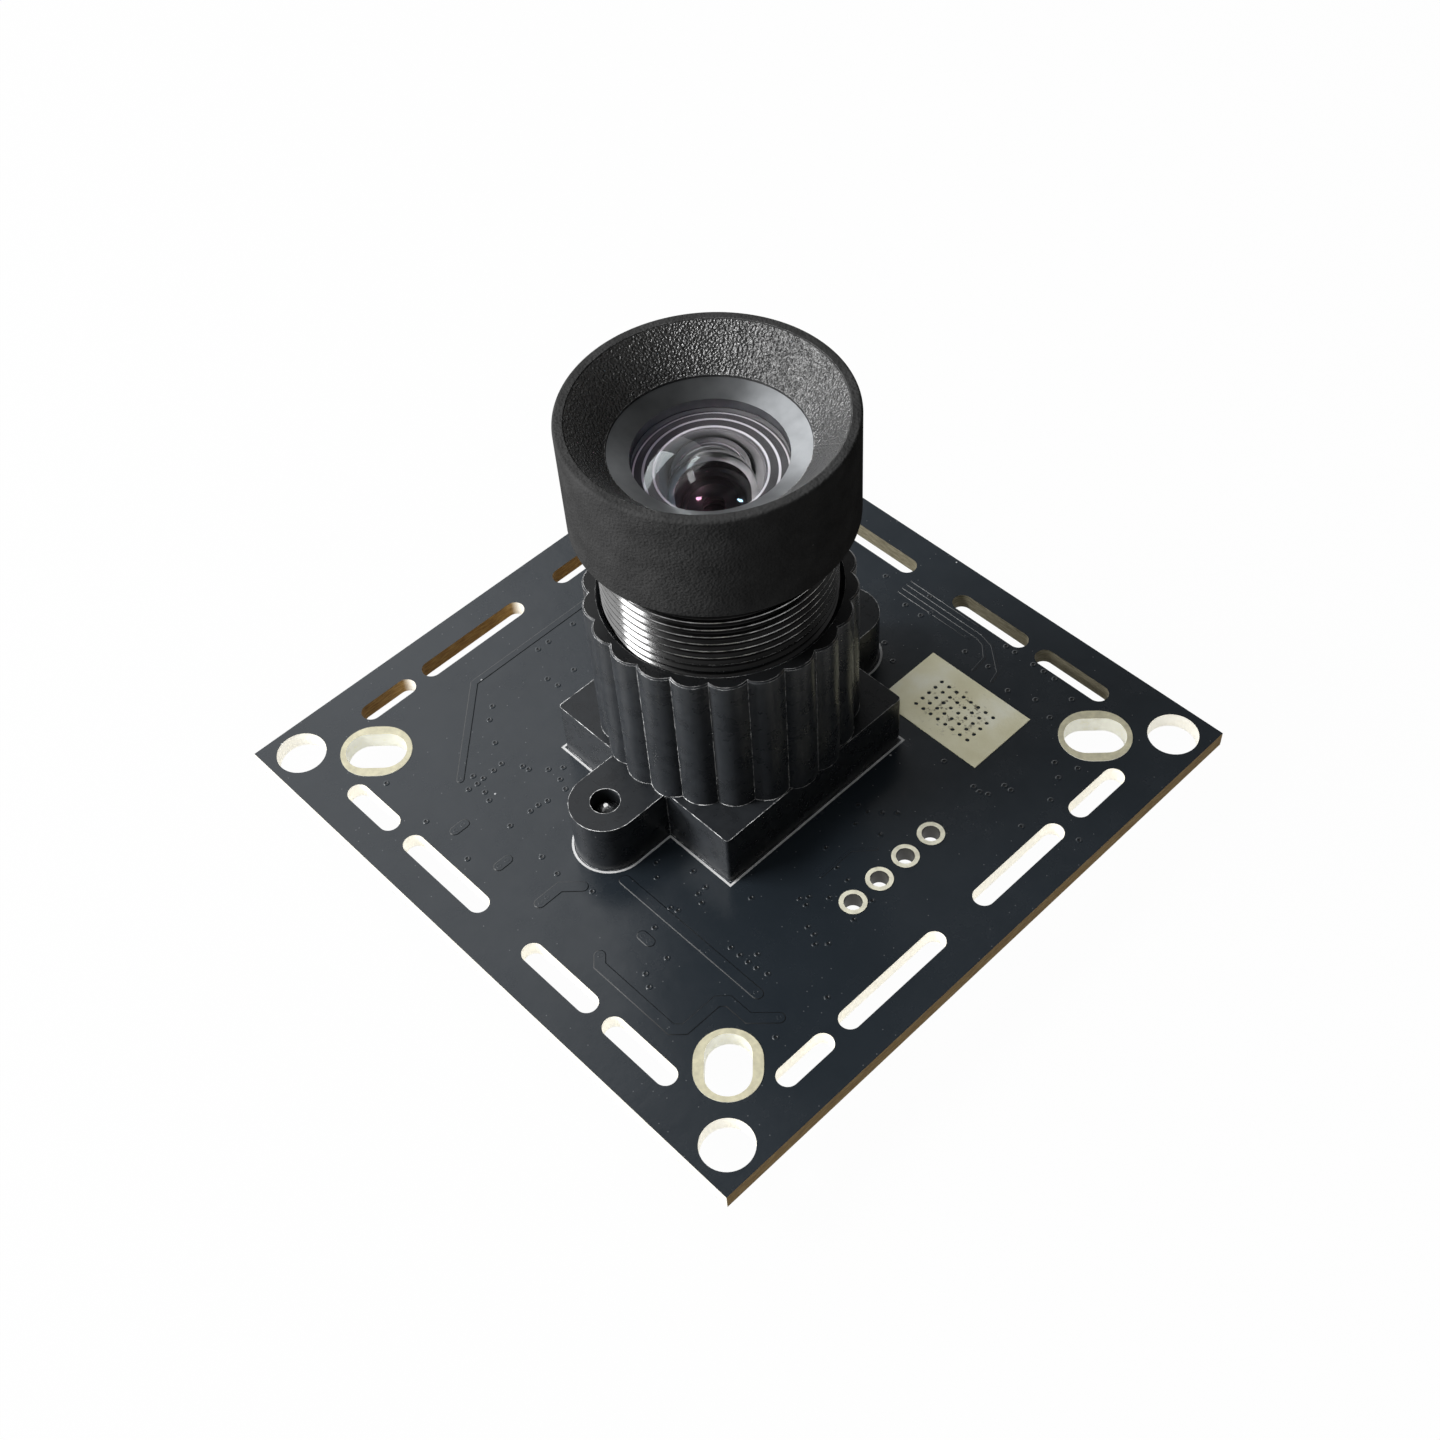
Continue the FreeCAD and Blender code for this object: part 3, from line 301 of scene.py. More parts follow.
def spread(tree, factor, low, high, start=0.0, end=1.0):
    """A number that runs from low to high as the factor runs from start to end."""
    made = add(tree, "ShaderNodeMapRange")
    made.inputs["From Min"].default_value = start
    made.inputs["From Max"].default_value = end
    made.inputs["To Min"].default_value = low
    made.inputs["To Max"].default_value = high
    tree.links.new(factor, made.inputs["Value"])
    return made.outputs["Result"]


def blend_colours(tree, factor, first, second):
    """A mix of two colours, each a socket or a fixed colour."""
    made = add(tree, "ShaderNodeMix", data_type="RGBA")
    tree.links.new(factor, made.inputs["Factor"])
    for socket, colour in (("A", first), ("B", second)):
        if isinstance(colour, tuple):
            made.inputs[socket].default_value = (*colour, 1)
        else:
            tree.links.new(colour, made.inputs[socket])
    return made.outputs["Result"]


def blend_shaders(tree, factor, first, second):
    made = add(tree, "ShaderNodeMixShader")
    tree.links.new(factor, made.inputs["Fac"])
    tree.links.new(first, made.inputs[1])
    tree.links.new(second, made.inputs[2])
    return made.outputs["Shader"]


def bump(tree, height, distance, normal=None):
    made = add(tree, "ShaderNodeBump", Distance=distance)
    tree.links.new(height, made.inputs["Height"])
    if normal is not None:
        tree.links.new(normal, made.inputs["Normal"])
    return made.outputs["Normal"]


def specks(tree, vector, spacing, radius, share, dimensions="3D"):
    """1 inside small round specks, in this share of the cells of this spacing."""
    cells = add(tree, "ShaderNodeTexVoronoi", voronoi_dimensions=dimensions, Scale=1 / (spacing * MM))
    tree.links.new(vector, cells.inputs["Vector"])
    near = spread(tree, cells.outputs["Distance"], 1.0, 0.0, 0.5 * radius / spacing, radius / spacing)
    split = add(tree, "ShaderNodeSeparateColor")
    tree.links.new(cells.outputs["Color"], split.inputs["Color"])
    chosen = join(tree, "GREATER_THAN", split.outputs["Red"], 1.0 - share)
    return join(tree, "MULTIPLY", near, chosen)


def grey(value):
    return (value, value, value)


def shade(colour, factor):
    return tuple(min(1.0, c * factor) for c in colour)


# Materials

def plain(name, colour, roughness, metallic=0.0, tint=0.25, grain_scale=4.0, grain_depth=0.004, uneven=0.06):
    """A surface with a slight drift of colour and a fine grain; grain_scale is per millimetre."""
    material, tree, shader = new_material(name)
    place = coordinates(tree)
    drift = noise(tree, place, grain_scale * 0.12 / MM, 3.0)
    stops = [(0.3, shade(colour, 1 - tint)), (0.7, shade(colour, 1 + tint))]
    tree.links.new(ramp(tree, drift, stops), shader.inputs["Base Color"])
    fine = noise(tree, place, grain_scale / MM, 2.0)
    rough = spread(tree, fine, roughness - uneven, roughness + uneven, 0.3, 0.7)
    tree.links.new(rough, shader.inputs["Roughness"])
    tree.links.new(bump(tree, fine, grain_depth * MM), shader.inputs["Normal"])
    shader.inputs["Metallic"].default_value = metallic
    return material


def board_material():
    """Dark solder mask on the faces, and bare glass laminate on the cut edges: pale cream with a painted glow
    as the lit side, brown as painted shade on the side away from the light.
    """
    material, tree, shader = new_material("solder_mask")
    place = coordinates(tree)
    sideways, upright = true_normal(tree)
    is_face = spread(tree, upright, 0.0, 1.0, 0.2, 0.4)
    drift = noise(tree, place, 0.22 / MM, 3.0)
    mask = ramp(tree, drift, [(0.3, (0.0205, 0.0280, 0.0360)), (0.7, (0.0250, 0.0330, 0.0420))])
    dust = specks(tree, place, spacing=0.7, radius=0.04, share=0.16, dimensions="2D")
    mask = blend_colours(tree, dust, mask, (0.14, 0.15, 0.16))
    fluff = specks(tree, place, spacing=2.3, radius=0.07, share=0.05, dimensions="2D")
    mask = blend_colours(tree, fluff, mask, (0.70, 0.71, 0.72))
    fibres = noise(tree, stretched(tree, place, (1.0, 1.0, 7.0)), 1.4 / MM, 4.0, 0.65)
    brown = ramp(tree, fibres, [(0.25, (0.20, 0.105, 0.028)), (0.5, (0.42, 0.26, 0.085)),
                                (0.75, (0.66, 0.48, 0.20))])
    tan = ramp(tree, fibres, [(0.3, (0.16, 0.14, 0.085)), (0.7, (0.52, 0.47, 0.33))])
    lit_cream = ramp(tree, fibres, [(0.25, (0.92, 0.88, 0.76)), (0.6, (0.98, 0.96, 0.89))])
    x, y, _ = parts(tree, place)
    left_slots = join(tree, "MULTIPLY", join(tree, "LESS_THAN", x, -SLOTS_BEYOND * MM),
                      within(tree, y, SLOTS_WITHIN * MM))
    far_slots = join(tree, "MULTIPLY", join(tree, "GREATER_THAN", y, SLOTS_BEYOND * MM),
                     within(tree, x, SLOTS_WITHIN * MM))
    right = join(tree, "GREATER_THAN", x, BROWN_BEYOND * MM)
    far = join(tree, "GREATER_THAN", y, BROWN_BEYOND * MM)
    left = join(tree, "LESS_THAN", x, -BROWN_BEYOND * MM)
    outer = join(tree, "MAXIMUM", join(tree, "MAXIMUM", right, far), left)
    # Walls that face -Y are painted as the lit side, pale cream with a glow; the brown walls are painted
    # shade
    faces_away_from_light = spread(tree, sideways, 0.0, 1.0, -0.9, -0.3)
    brown_shaded_side = join(tree, "MULTIPLY", join(tree, "MAXIMUM", outer, left_slots), faces_away_from_light)
    edge = blend_colours(tree, brown_shaded_side, blend_colours(tree, far_slots, lit_cream, tan), brown)
    tree.links.new(blend_colours(tree, is_face, edge, mask), shader.inputs["Base Color"])
    tree.links.new(edge, shader.inputs["Emission Color"])
    glow = spread(tree, join(tree, "MAXIMUM", brown_shaded_side, far_slots), PAINTED_EDGE_GLOW, 0.0)
    is_edge = spread(tree, is_face, 1.0, 0.0)
    tree.links.new(join(tree, "MULTIPLY", is_edge, glow), shader.inputs["Emission Strength"])
    smears = noise(tree, place, 0.5 / MM, 4.0, 0.6)
    gloss = spread(tree, smears, 0.20, 0.30, 0.3, 0.7)
    rough = add(tree, "ShaderNodeMix")
    tree.links.new(is_face, rough.inputs["Factor"])
    rough.inputs["A"].default_value = 0.75
    tree.links.new(gloss, rough.inputs["B"])
    tree.links.new(rough.outputs["Result"], shader.inputs["Roughness"])
    ripple = noise(tree, place, 0.9 / MM, 4.0, 0.6)
    tree.links.new(bump(tree, ripple, 0.010 * MM), shader.inputs["Normal"])
    return material


def edges_with_wear_and_highlight(tree, place, width):
    """A normal that rounds the edges off, and where they show wear and a painted highlight: 1 on them, broken
    up by scuffs.
    """
    rounded = add(tree, "ShaderNodeBevel", samples=8, Radius=width * MM)
    agree = add(tree, "ShaderNodeVectorMath", operation="DOT_PRODUCT")
    tree.links.new(rounded.outputs["Normal"], agree.inputs[0])
    tree.links.new(add(tree, "ShaderNodeNewGeometry").outputs["Normal"], agree.inputs[1])
    at_edge = spread(tree, agree.outputs["Value"], 1.0, 0.0, 0.87, 0.975)
    scuffs = noise(tree, place, 2.2 / MM, 5.0, 0.65)
    edge_wear_and_highlight = join(tree, "MULTIPLY", at_edge, spread(tree, scuffs, 0.1, 1.0, 0.42, 0.6))
    return rounded.outputs["Normal"], edge_wear_and_highlight


def grained_material(name, colour, roughness, specular, cells, depth, wear_and_highlight_grey):
    """Black metal with a blasted grain and edges painted pale, as wear and as a painted highlight; cells is
    the number of grains per millimetre.
    """
    material, tree, shader = new_material(name)
    place = coordinates(tree)
    pits = add(tree, "ShaderNodeTexVoronoi", feature="SMOOTH_F1", Scale=cells / MM, Smoothness=0.5)
    tree.links.new(place, pits.inputs["Vector"])
    fine = noise(tree, place, cells * 1.3 / MM, 2.0)
    both = join(tree, "ADD", pits.outputs["Distance"], fine)
    normal, edge_wear_and_highlight = edges_with_wear_and_highlight(tree, place, 0.06)
    tree.links.new(bump(tree, both, depth * MM, normal), shader.inputs["Normal"])
    drift = noise(tree, place, 0.7 / MM, 4.0, 0.6)
    base = ramp(tree, drift, [(0.3, grey(colour * 0.8)), (0.7, grey(colour * 1.2))])
    dust = specks(tree, place, spacing=0.9, radius=0.045, share=0.16)
    base = blend_colours(tree, dust, base, grey(0.2))
    # Edges are painted pale, for wear and as a painted highlight
    tree.links.new(blend_colours(tree, edge_wear_and_highlight, base, grey(wear_and_highlight_grey)), shader.inputs["Base Color"])
    shader.inputs["Roughness"].default_value = roughness
    shader.inputs["Specular IOR Level"].default_value = specular
    return material


def moulded_material(name, colour, roughness, specular, wear_and_highlight_grey, edge_width):
    """Black moulded plastic with scuffs, edges painted pale for wear and as a painted highlight, and a top
    painted nearly black as the head's shadow.
    """
    material, tree, shader = new_material(name)
    place = coordinates(tree)
    _, edge_wear_and_highlight = edges_with_wear_and_highlight(tree, place, edge_width)
    scuffs = noise(tree, place, 1.2 / MM, 3.0, 0.6)
    base = ramp(tree, scuffs, [(0.3, shade(colour, 0.85)), (0.7, shade(colour, 1.2))])
    _, _, level = parts(tree, place)
    # The top face is painted nearly black, as the shadow that the lens head casts on it
    painted_shadow_on_top = spread(tree, level, 0.0, 0.75, (HOLDER_TOP - 0.05) * MM, (HOLDER_TOP - 0.01) * MM)
    base = blend_colours(tree, painted_shadow_on_top, base, grey(0.004))
    dust = specks(tree, place, spacing=1.1, radius=0.045, share=0.14)
    base = blend_colours(tree, dust, base, grey(0.2))
    # Edges are painted pale, up to white, for wear and as a painted highlight
    tree.links.new(blend_colours(tree, edge_wear_and_highlight, base, grey(wear_and_highlight_grey)), shader.inputs["Base Color"])
    rough = spread(tree, scuffs, roughness - 0.02, roughness + 0.03, 0.35, 0.65)
    tree.links.new(rough, shader.inputs["Roughness"])
    shader.inputs["Specular IOR Level"].default_value = specular
    return material


def plated_material(name, land, painted_wall, glow):
    """Tin plating: one colour on the board's face, and one down the hole, painted pale with a painted glow
    where the hole should look lit, and dark as painted shade where it should look shaded.
    """
    material, tree, shader = new_material(name)
    place = coordinates(tree)
    _, upright = true_normal(tree)
    is_land = spread(tree, upright, 0.0, 1.0, 0.4, 0.6)
    patches = noise(tree, place, 2.0 / MM, 4.0, 0.6)
    flat = ramp(tree, patches, [(0.3, shade(land, 0.8)), (0.7, shade(land, 1.12))])
    down = ramp(tree, patches, [(0.3, shade(painted_wall, 0.8)), (0.7, shade(painted_wall, 1.12))])
    tree.links.new(blend_colours(tree, is_land, down, flat), shader.inputs["Base Color"])
    tree.links.new(down, shader.inputs["Emission Color"])
    tree.links.new(spread(tree, is_land, glow, 0.0), shader.inputs["Emission Strength"])
    shader.inputs["Roughness"].default_value = 0.45
    tree.links.new(bump(tree, patches, 0.006 * MM), shader.inputs["Normal"])
    return material


def pad_material():
    """The bare heat pad: dull tinned copper, with brown stains between its via holes."""
    material, tree, shader = new_material("tinned_pad")
    place = coordinates(tree)
    cloud = noise(tree, place, 0.45 / MM, 3.0)
    base = ramp(tree, cloud, [(0.3, (0.74, 0.70, 0.47)), (0.5, (0.83, 0.80, 0.58)),
                              (0.7, (0.90, 0.89, 0.73))])
    middle = [(a + b) / 2 for a, b in zip(low_of("heat_pad"), high_of("heat_pad"))]
    shifted = add(tree, "ShaderNodeVectorMath", operation="SUBTRACT")
    tree.links.new(place, shifted.inputs[0])
    shifted.inputs[1].default_value = [c * MM for c in middle]
    near = spread(tree, length(tree, shifted.outputs["Vector"]), 1.0, 0.0, 1.3 * MM, 2.1 * MM)
    marks = spread(tree, noise(tree, place, 3.2 / MM, 3.0, 0.6), 0.0, 0.85, 0.56, 0.66)
    base = blend_colours(tree, join(tree, "MULTIPLY", near, marks), base, (0.10, 0.085, 0.05))
    tree.links.new(base, shader.inputs["Base Color"])
    shader.inputs["Roughness"].default_value = 0.5
    fine = noise(tree, place, 5.0 / MM, 3.0)
    tree.links.new(bump(tree, fine, 0.012 * MM), shader.inputs["Normal"])
    return material


def turned_material(name, colour, roughness, metallic, pitch, depth):
    """Metal with fine rings left by turning, round the lens axis; pitch is their rough spacing."""
    material, tree, shader = new_material(name)
    place = coordinates(tree)
    flat = add(tree, "ShaderNodeVectorMath", operation="MULTIPLY")
    flat.inputs[1].default_value = (1, 1, 0)
    tree.links.new(place, flat.inputs[0])
    _, _, level = parts(tree, place)
    run = join(tree, "ADD", length(tree, flat.outputs["Vector"]), level)
    rings = add(tree, "ShaderNodeTexNoise", noise_dimensions="1D", Scale=1 / (pitch * MM), Detail=1.0)
    tree.links.new(run, rings.inputs["W"])
    tree.links.new(bump(tree, rings.outputs["Fac"], depth * MM), shader.inputs["Normal"])
    drift = noise(tree, place, 0.8 / MM, 3.0)
    stops = [(0.3, shade(colour, 0.85)), (0.7, shade(colour, 1.15))]
    tree.links.new(ramp(tree, drift, stops), shader.inputs["Base Color"])
    shader.inputs["Roughness"].default_value = roughness
    shader.inputs["Metallic"].default_value = metallic
    return material


def glass_material(name, tint, reflection, index):
    """Glass whose coating dims and tints what it reflects; light from lamps passes straight through."""
    material, tree, shader = new_material(name)
    shader.inputs["Base Color"].default_value = (*tint, 1)
    shader.inputs["IOR"].default_value = index
    shader.inputs["Transmission Weight"].default_value = 1.0
    shader.inputs["Specular Tint"].default_value = (*reflection, 1)
    smears = noise(tree, coordinates(tree), 0.8 / MM, 2.0)
    tree.links.new(spread(tree, smears, 0.01, 0.03, 0.45, 0.7), shader.inputs["Roughness"])
    clear = add(tree, "ShaderNodeBsdfTransparent", Color=(*tint, 1))
    is_shadow = add(tree, "ShaderNodeLightPath").outputs["Is Shadow Ray"]
    both = blend_shaders(tree, is_shadow, shader.outputs["BSDF"], clear.outputs["BSDF"])
    tree.links.new(both, tree.nodes["Material Output"].inputs["Surface"])
    return material


def dress(material, *names):
    for name in names:
        slots = nodes[name].data.materials
        slots.clear()
        slots.append(material)


def dress_nodes(board):
    dress(board, "pcb")
    # The slot holes' walls are painted near white with a painted glow
    slot_tin = plated_material("slot_plating", land=(0.70, 0.66, 0.47), painted_wall=(0.96, 0.94, 0.80), glow=0.3)
    dress(slot_tin, "slot_hole_plating")
    # The header holes' walls are painted dark as shade inside the holes
    pin_tin = plated_material("header_plating", land=(0.90, 0.87, 0.70), painted_wall=(0.030, 0.029, 0.020), glow=0.0)
    dress(pin_tin, "header_hole_plating")
    dress(pad_material(), "heat_pad")
    # The holder's edges are painted white, for wear and as a painted highlight
    moulding = moulded_material("moulding", (0.0165, 0.0182, 0.0205), roughness=0.28, specular=0.25, wear_and_highlight_grey=1.0,
                                edge_width=0.08)
    dress(moulding, "lens_holder")
    dress(plain("screw_steel", grey(0.62), 0.25, metallic=1.0), "holder_screws")
    dress(plain("sensor_package", (0.06, 0.055, 0.05), 0.6), "image_sensor")
    dress(plain("silicon", (0.03, 0.035, 0.045), 0.15), "sensor_die")
    cover = glass_material("cover_glass", (0.96, 0.97, 0.97), reflection=WHITE, index=1.5)
    dress(cover, "sensor_cover_glass")
    satin = turned_material("satin_ring", (0.26, 0.27, 0.28), 0.33, metallic=1.0, pitch=0.06, depth=0.0004)
    dress(satin, "front_retaining_ring")
    spacer = turned_material("black_spacer", grey(0.025), 0.5, metallic=0.0, pitch=0.2, depth=0.0004)
    dress(spacer, "front_spacer", "middle_spacer", "rear_spacer", "rear_retaining_ring")
    dress(plain("stop_black", grey(0.01), 0.5), "aperture_stop")
    inner = glass_material("inner_glass", (0.97, 0.98, 0.98), reflection=(0.02, 0.03, 0.09),
                           index=INNER_INDEX)
    dress(inner, "third_element", "fourth_element", "fifth_element", "rear_element")
    cyan = glass_material("filter_glass", (0.30, 0.50, 0.52), reflection=(0.5, 0.1, 0.1), index=1.5)
    dress(cyan, "infrared_filter")
    chip = plain("chip_moulding", grey(0.022), 0.55, grain_scale=8.0)
    dress(chip, "video_processor", "flash_memory", "voltage_regulators")
    tin = plain("tinned_leads", (0.66, 0.66, 0.64), 0.3, metallic=1.0)
    dress(tin, "processor_terminals", "flash_leads", "regulator_leads")
    dress(tin, "connector_contacts", "connector_tabs")
    dress(plain("crystal_can", (0.62, 0.61, 0.57), 0.28, metallic=1.0), "clock_crystal")
    dress(plain("ferrite", grey(0.10), 0.6, grain_scale=8.0), "power_inductors")
    dress(plain("capacitor", (0.34, 0.24, 0.14), 0.45), "ceramic_capacitors")
    dress(plain("resistor", grey(0.03), 0.4), "chip_resistors")
    dress(plain("nylon", (0.72, 0.67, 0.55), 0.45), "cable_connector")


# Meshes

def mesh_object(name, vertices, faces, materials, indices=None, smooth_angle=None):
    """An object from points in millimetres; indices gives the slot of each face."""
    mesh = bpy.data.meshes.new(name)
    mesh.from_pydata([Vector(v) * MM for v in vertices], [], faces)
    for material in materials:
        mesh.materials.append(material)
    if indices is not None:
        mesh.polygons.foreach_set("material_index", indices)
    build = bmesh.new()
    build.from_mesh(mesh)
    bmesh.ops.remove_doubles(build, verts=build.verts, dist=0.0005 * MM)
    bmesh.ops.dissolve_degenerate(build, edges=build.edges, dist=0.0004 * MM)
    bmesh.ops.recalc_face_normals(build, faces=build.faces)
    build.to_mesh(mesh)
    build.free()
    if smooth_angle is not None:
        mesh.polygons.foreach_set("use_smooth", [True] * len(mesh.polygons))
        mesh.set_sharp_from_angle(angle=math.radians(smooth_angle))
    made = bpy.data.objects.new(name, mesh)
    bpy.context.scene.collection.objects.link(made)
    return made


# Slots of a lens mesh's materials
CLEAR, GROUND, PALE, DARK = range(4)


def fixed(radius, level):
    """A row that is the same all the way round."""
    return lambda turn: (radius, level)


def turned_mesh(name, rows, kinds, materials, closed, smooth_angle):
    """A surface of revolution: a row gives a radius and level at each turn, and kinds the slot after it."""
    columns = TURN_STEPS + 1
    vertices, faces, indices = [], [], []
    for row in rows:
        for i in range(columns):
            turn = 2 * math.pi * i / TURN_STEPS
            radius, level = row(turn)
            vertices.append((radius * math.cos(turn), radius * math.sin(turn), level))
    for j in range(len(rows) if closed else len(rows) - 1):
        k = (j + 1) % len(rows)
        for i in range(TURN_STEPS):
            faces.append((j * columns + i, j * columns + i + 1, k * columns + i + 1, k * columns + i))
            indices.append(kinds[j])
    return mesh_object(name, vertices, faces, materials, indices, smooth_angle)


def thread_share(phase):
    """How far out the thread stands, from 0 at the root to 1 at the crest, over one pitch."""
    phase %= 1.0
    flank = 0.36
    crest = 0.14
    root = 1.0 - 2 * flank - crest
    if phase < root:
        return 0.0
    if phase < root + flank:
        return (phase - root) / flank
    if phase < root + flank + crest:
        return 1.0
    return (1.0 - phase) / flank


# Slots of the barrel's materials
FLANK, OUTSIDE, INSIDE, BORED, ROOT, CREST = range(6)

# Rows of one pitch of the thread, and the slot of the band that starts at each
THREAD_CORNERS = (0.0, 0.14, 0.32, 0.47, 0.50, 0.64, 0.67, 0.82)
# ROOT bands take a darker copy of the stem's metal as painted shade, CREST bands a paler copy as painted
# highlight
THREAD_SLOTS = (ROOT, ROOT, FLANK, FLANK, CREST, FLANK, FLANK, ROOT)


def thread_rows(start, end):
    """Rows of the stem between two levels, for a right-hand thread: one turn on, a row meets the next."""
    def at(level, turn):
        share = turn / (2 * math.pi)
        z = min(max(level + share * THREAD_PITCH, start), end)
        radius = THREAD_CREST - THREAD_DEPTH * (1 - thread_share(z / THREAD_PITCH - share))
        return radius, z

    first = math.floor(start / THREAD_PITCH) - 1
    last = math.ceil(end / THREAD_PITCH)
    rows = []
    for pitch in range(first, last + 1):
        for corner in THREAD_CORNERS:
            level = (pitch + corner) * THREAD_PITCH
            rows.append(lambda turn, level=level: at(level, turn))
    return rows


def rounded_corner(radius, level, size, rising):
    """Rows round a convex outer corner, from below to the side or from the side to the top."""
    rows = []
    steps = 6
    for i in range(steps + 1):
        angle = math.pi / 2 * i / steps
        across, along_axis = size * math.sin(angle), size * math.cos(angle)
        if rising:
            rows.append(fixed(radius - size + across, level + size - along_axis))
        else:
            rows.append(fixed(radius - size + along_axis, level - size + across))
    return rows


def make_barrel():
    """The lens barrel: threaded stem, grained head and hood, bored right through."""
    stem_top = RIM - HEAD_LENGTH
    thread_start = BARREL_REAR + SNOUT_LENGTH
    hood_bottom = RIM - HOOD_DEPTH
    neck_rear = SHOULDER - NECK_LENGTH
    ring_bore = RING_RADIUS + FIT_GAP
    front_bore = FRONT_GROUP_RADIUS + FIT_GAP
    rear_bore = REAR_GROUP_RADIUS + FIT_GAP
    filter_bore = REAR_RING_RADIUS + FIT_GAP
    mouth = HEAD_RADIUS - RIM_WIDTH
    stem = [fixed(filter_bore, BARREL_REAR), fixed(SNOUT_RADIUS, BARREL_REAR)]
    stem += [fixed(SNOUT_RADIUS, thread_start), *thread_rows(thread_start, stem_top)]
    head = rounded_corner(HEAD_RADIUS, stem_top, HEAD_ROUND, True)
    head += rounded_corner(HEAD_RADIUS, RIM, HEAD_ROUND, False)
    head += [fixed(mouth + RIM_EDGE, RIM), fixed(mouth, RIM - RIM_EDGE)]
    hood = [fixed(RING_RADIUS + HOOD_SEAT_GAP, hood_bottom), fixed(ring_bore, hood_bottom)]
    bores = [fixed(ring_bore, RING_FLOOR), fixed(front_bore, RING_FLOOR), fixed(front_bore, SHOULDER),
             fixed(NECK_RADIUS, SHOULDER), fixed(NECK_RADIUS, neck_rear), fixed(rear_bore, neck_rear),
             fixed(rear_bore, REAR_RING_TOP), fixed(filter_bore, REAR_RING_TOP)]
    kinds = [FLANK] * 3 + [THREAD_SLOTS[i % len(THREAD_SLOTS)] for i in range(len(stem) - 4)]
    kinds += [OUTSIDE] * len(head) + [INSIDE] * len(hood) + [BORED] * (len(bores) + 1)
    threaded = plain("stem_black", grey(0.13), 0.12, metallic=1.0, grain_depth=0.0, uneven=0.01)
    # The roots are a darker copy of the stem's metal as painted shade, and the crests a paler one as painted
    # highlight
    root = plain("stem_root_painted_shade", grey(0.03), 0.25, metallic=1.0, grain_depth=0.0, uneven=0.02)
    crest = plain("stem_crest_painted_highlight", grey(0.28), 0.22, metallic=1.0, tint=0.7, grain_scale=14.0, grain_depth=0.0)
    outside = grained_material("head_grain", 0.044, 0.60, specular=0.0, cells=7.0, depth=0.030, wear_and_highlight_grey=0.40)
    inside = grained_material("hood_grain", 0.018, 0.30, specular=1.0, cells=7.5, depth=0.085, wear_and_highlight_grey=0.40)
    bored = turned_material("bore_black", grey(0.03), 0.45, metallic=0.0, pitch=0.2, depth=0.0006)
    return turned_mesh("lens_barrel_body", stem + head + hood + bores, kinds,
                       [threaded, outside, inside, bored, root, crest], True, 35)


def glass_rows(level, half, rise, steps=24):
    """Rows from the axis out to the edge of a spherical surface."""
    sphere = (half ** 2 + rise ** 2) / (2 * abs(rise))
    side = 1 if rise > 0 else -1
    rows = []
    for i in range(steps + 1):
        radius = half * i / steps
        sag = sphere - math.sqrt(sphere ** 2 - radius ** 2)
        rows.append(fixed(radius, level + rise - side * sag))
    return rows


def make_glass(name, low, radius, sizes, bevel, bands, materials):
    """A lens with clear surfaces, and a ground bevel and rear rim that show as nested pale and dark rings.

    bevel is how far the edge keeps its full radius, then the radius that it narrows to at the rear.
    bands are the shares of the rear rim's width, from the outside, at which it turns pale or dark.
    """
    edge, (front_rim, front_rise), (rear_rim, rear_rise) = sizes
    edge -= 2 * LIFT
    straight, narrow = bevel
    rear_half = radius - rear_rim
    front = glass_rows(low + edge, radius - front_rim, front_rise)
    rear = glass_rows(low, rear_half, -rear_rise)
    rear.reverse()
    rims = [fixed(radius, low + edge), fixed(radius, low + edge - straight), fixed(narrow, low)]
    rims += [fixed(narrow + (rear_half - narrow) * share, low) for share in bands]
    kinds = [CLEAR] * (len(front) - 1) + [DARK, DARK, GROUND]
    kinds += [PALE if i % 2 else DARK for i in range(len(bands) + 1)]
    kinds += [CLEAR] * len(rear)
    return turned_mesh(name, front + rims + rear, kinds, materials, False, 30)


def along(points, closed):
    """For each point of a flat path, the sideways step that keeps a strip's width round its corner."""
    steps = []
    count = len(points)
    for i in range(count):
        sides = []
        for j in (i - 1, i):
            if closed or 0 <= j < count - 1:
                a, b = Vector(points[j % count]), Vector(points[(j + 1) % count])
                run = (b - a).normalized()
                sides.append(Vector((-run.y, run.x)))
        if len(sides) == 2:
            steps.append((sides[0] + sides[1]) / (1 + sides[0].dot(sides[1])))
        else:
            steps.append(sides[0])
    return steps


def add_ridge(store, points, width, height, slope, closed=False):
    """A low ridge along a path on the board's face, with round ends unless it is closed.

    Its top has the first slot of the mesh's materials, and its slopes the second.
    """
    vertices, faces, kinds = store
    start = len(vertices)
    profile = ((-width / 2, 0), (slope - width / 2, height), (width / 2 - slope, height), (width / 2, 0))
    for point, side in zip(points, along(points, closed)):
        for across, up in profile:
            vertices.append((point[0] + side.x * across, point[1] + side.y * across, FACE + up))
    count = len(points)
    for i in range(count if closed else count - 1):
        a, b = start + 4 * i, start + 4 * ((i + 1) % count)
        faces += [(a + k, a + k + 1, b + k + 1, b + k) for k in range(3)]
        kinds += [1, 0, 1]
    if not closed:
        add_round_end(store, points[0], points[1], width, height, slope)
        add_round_end(store, points[-1], points[-2], width, height, slope)


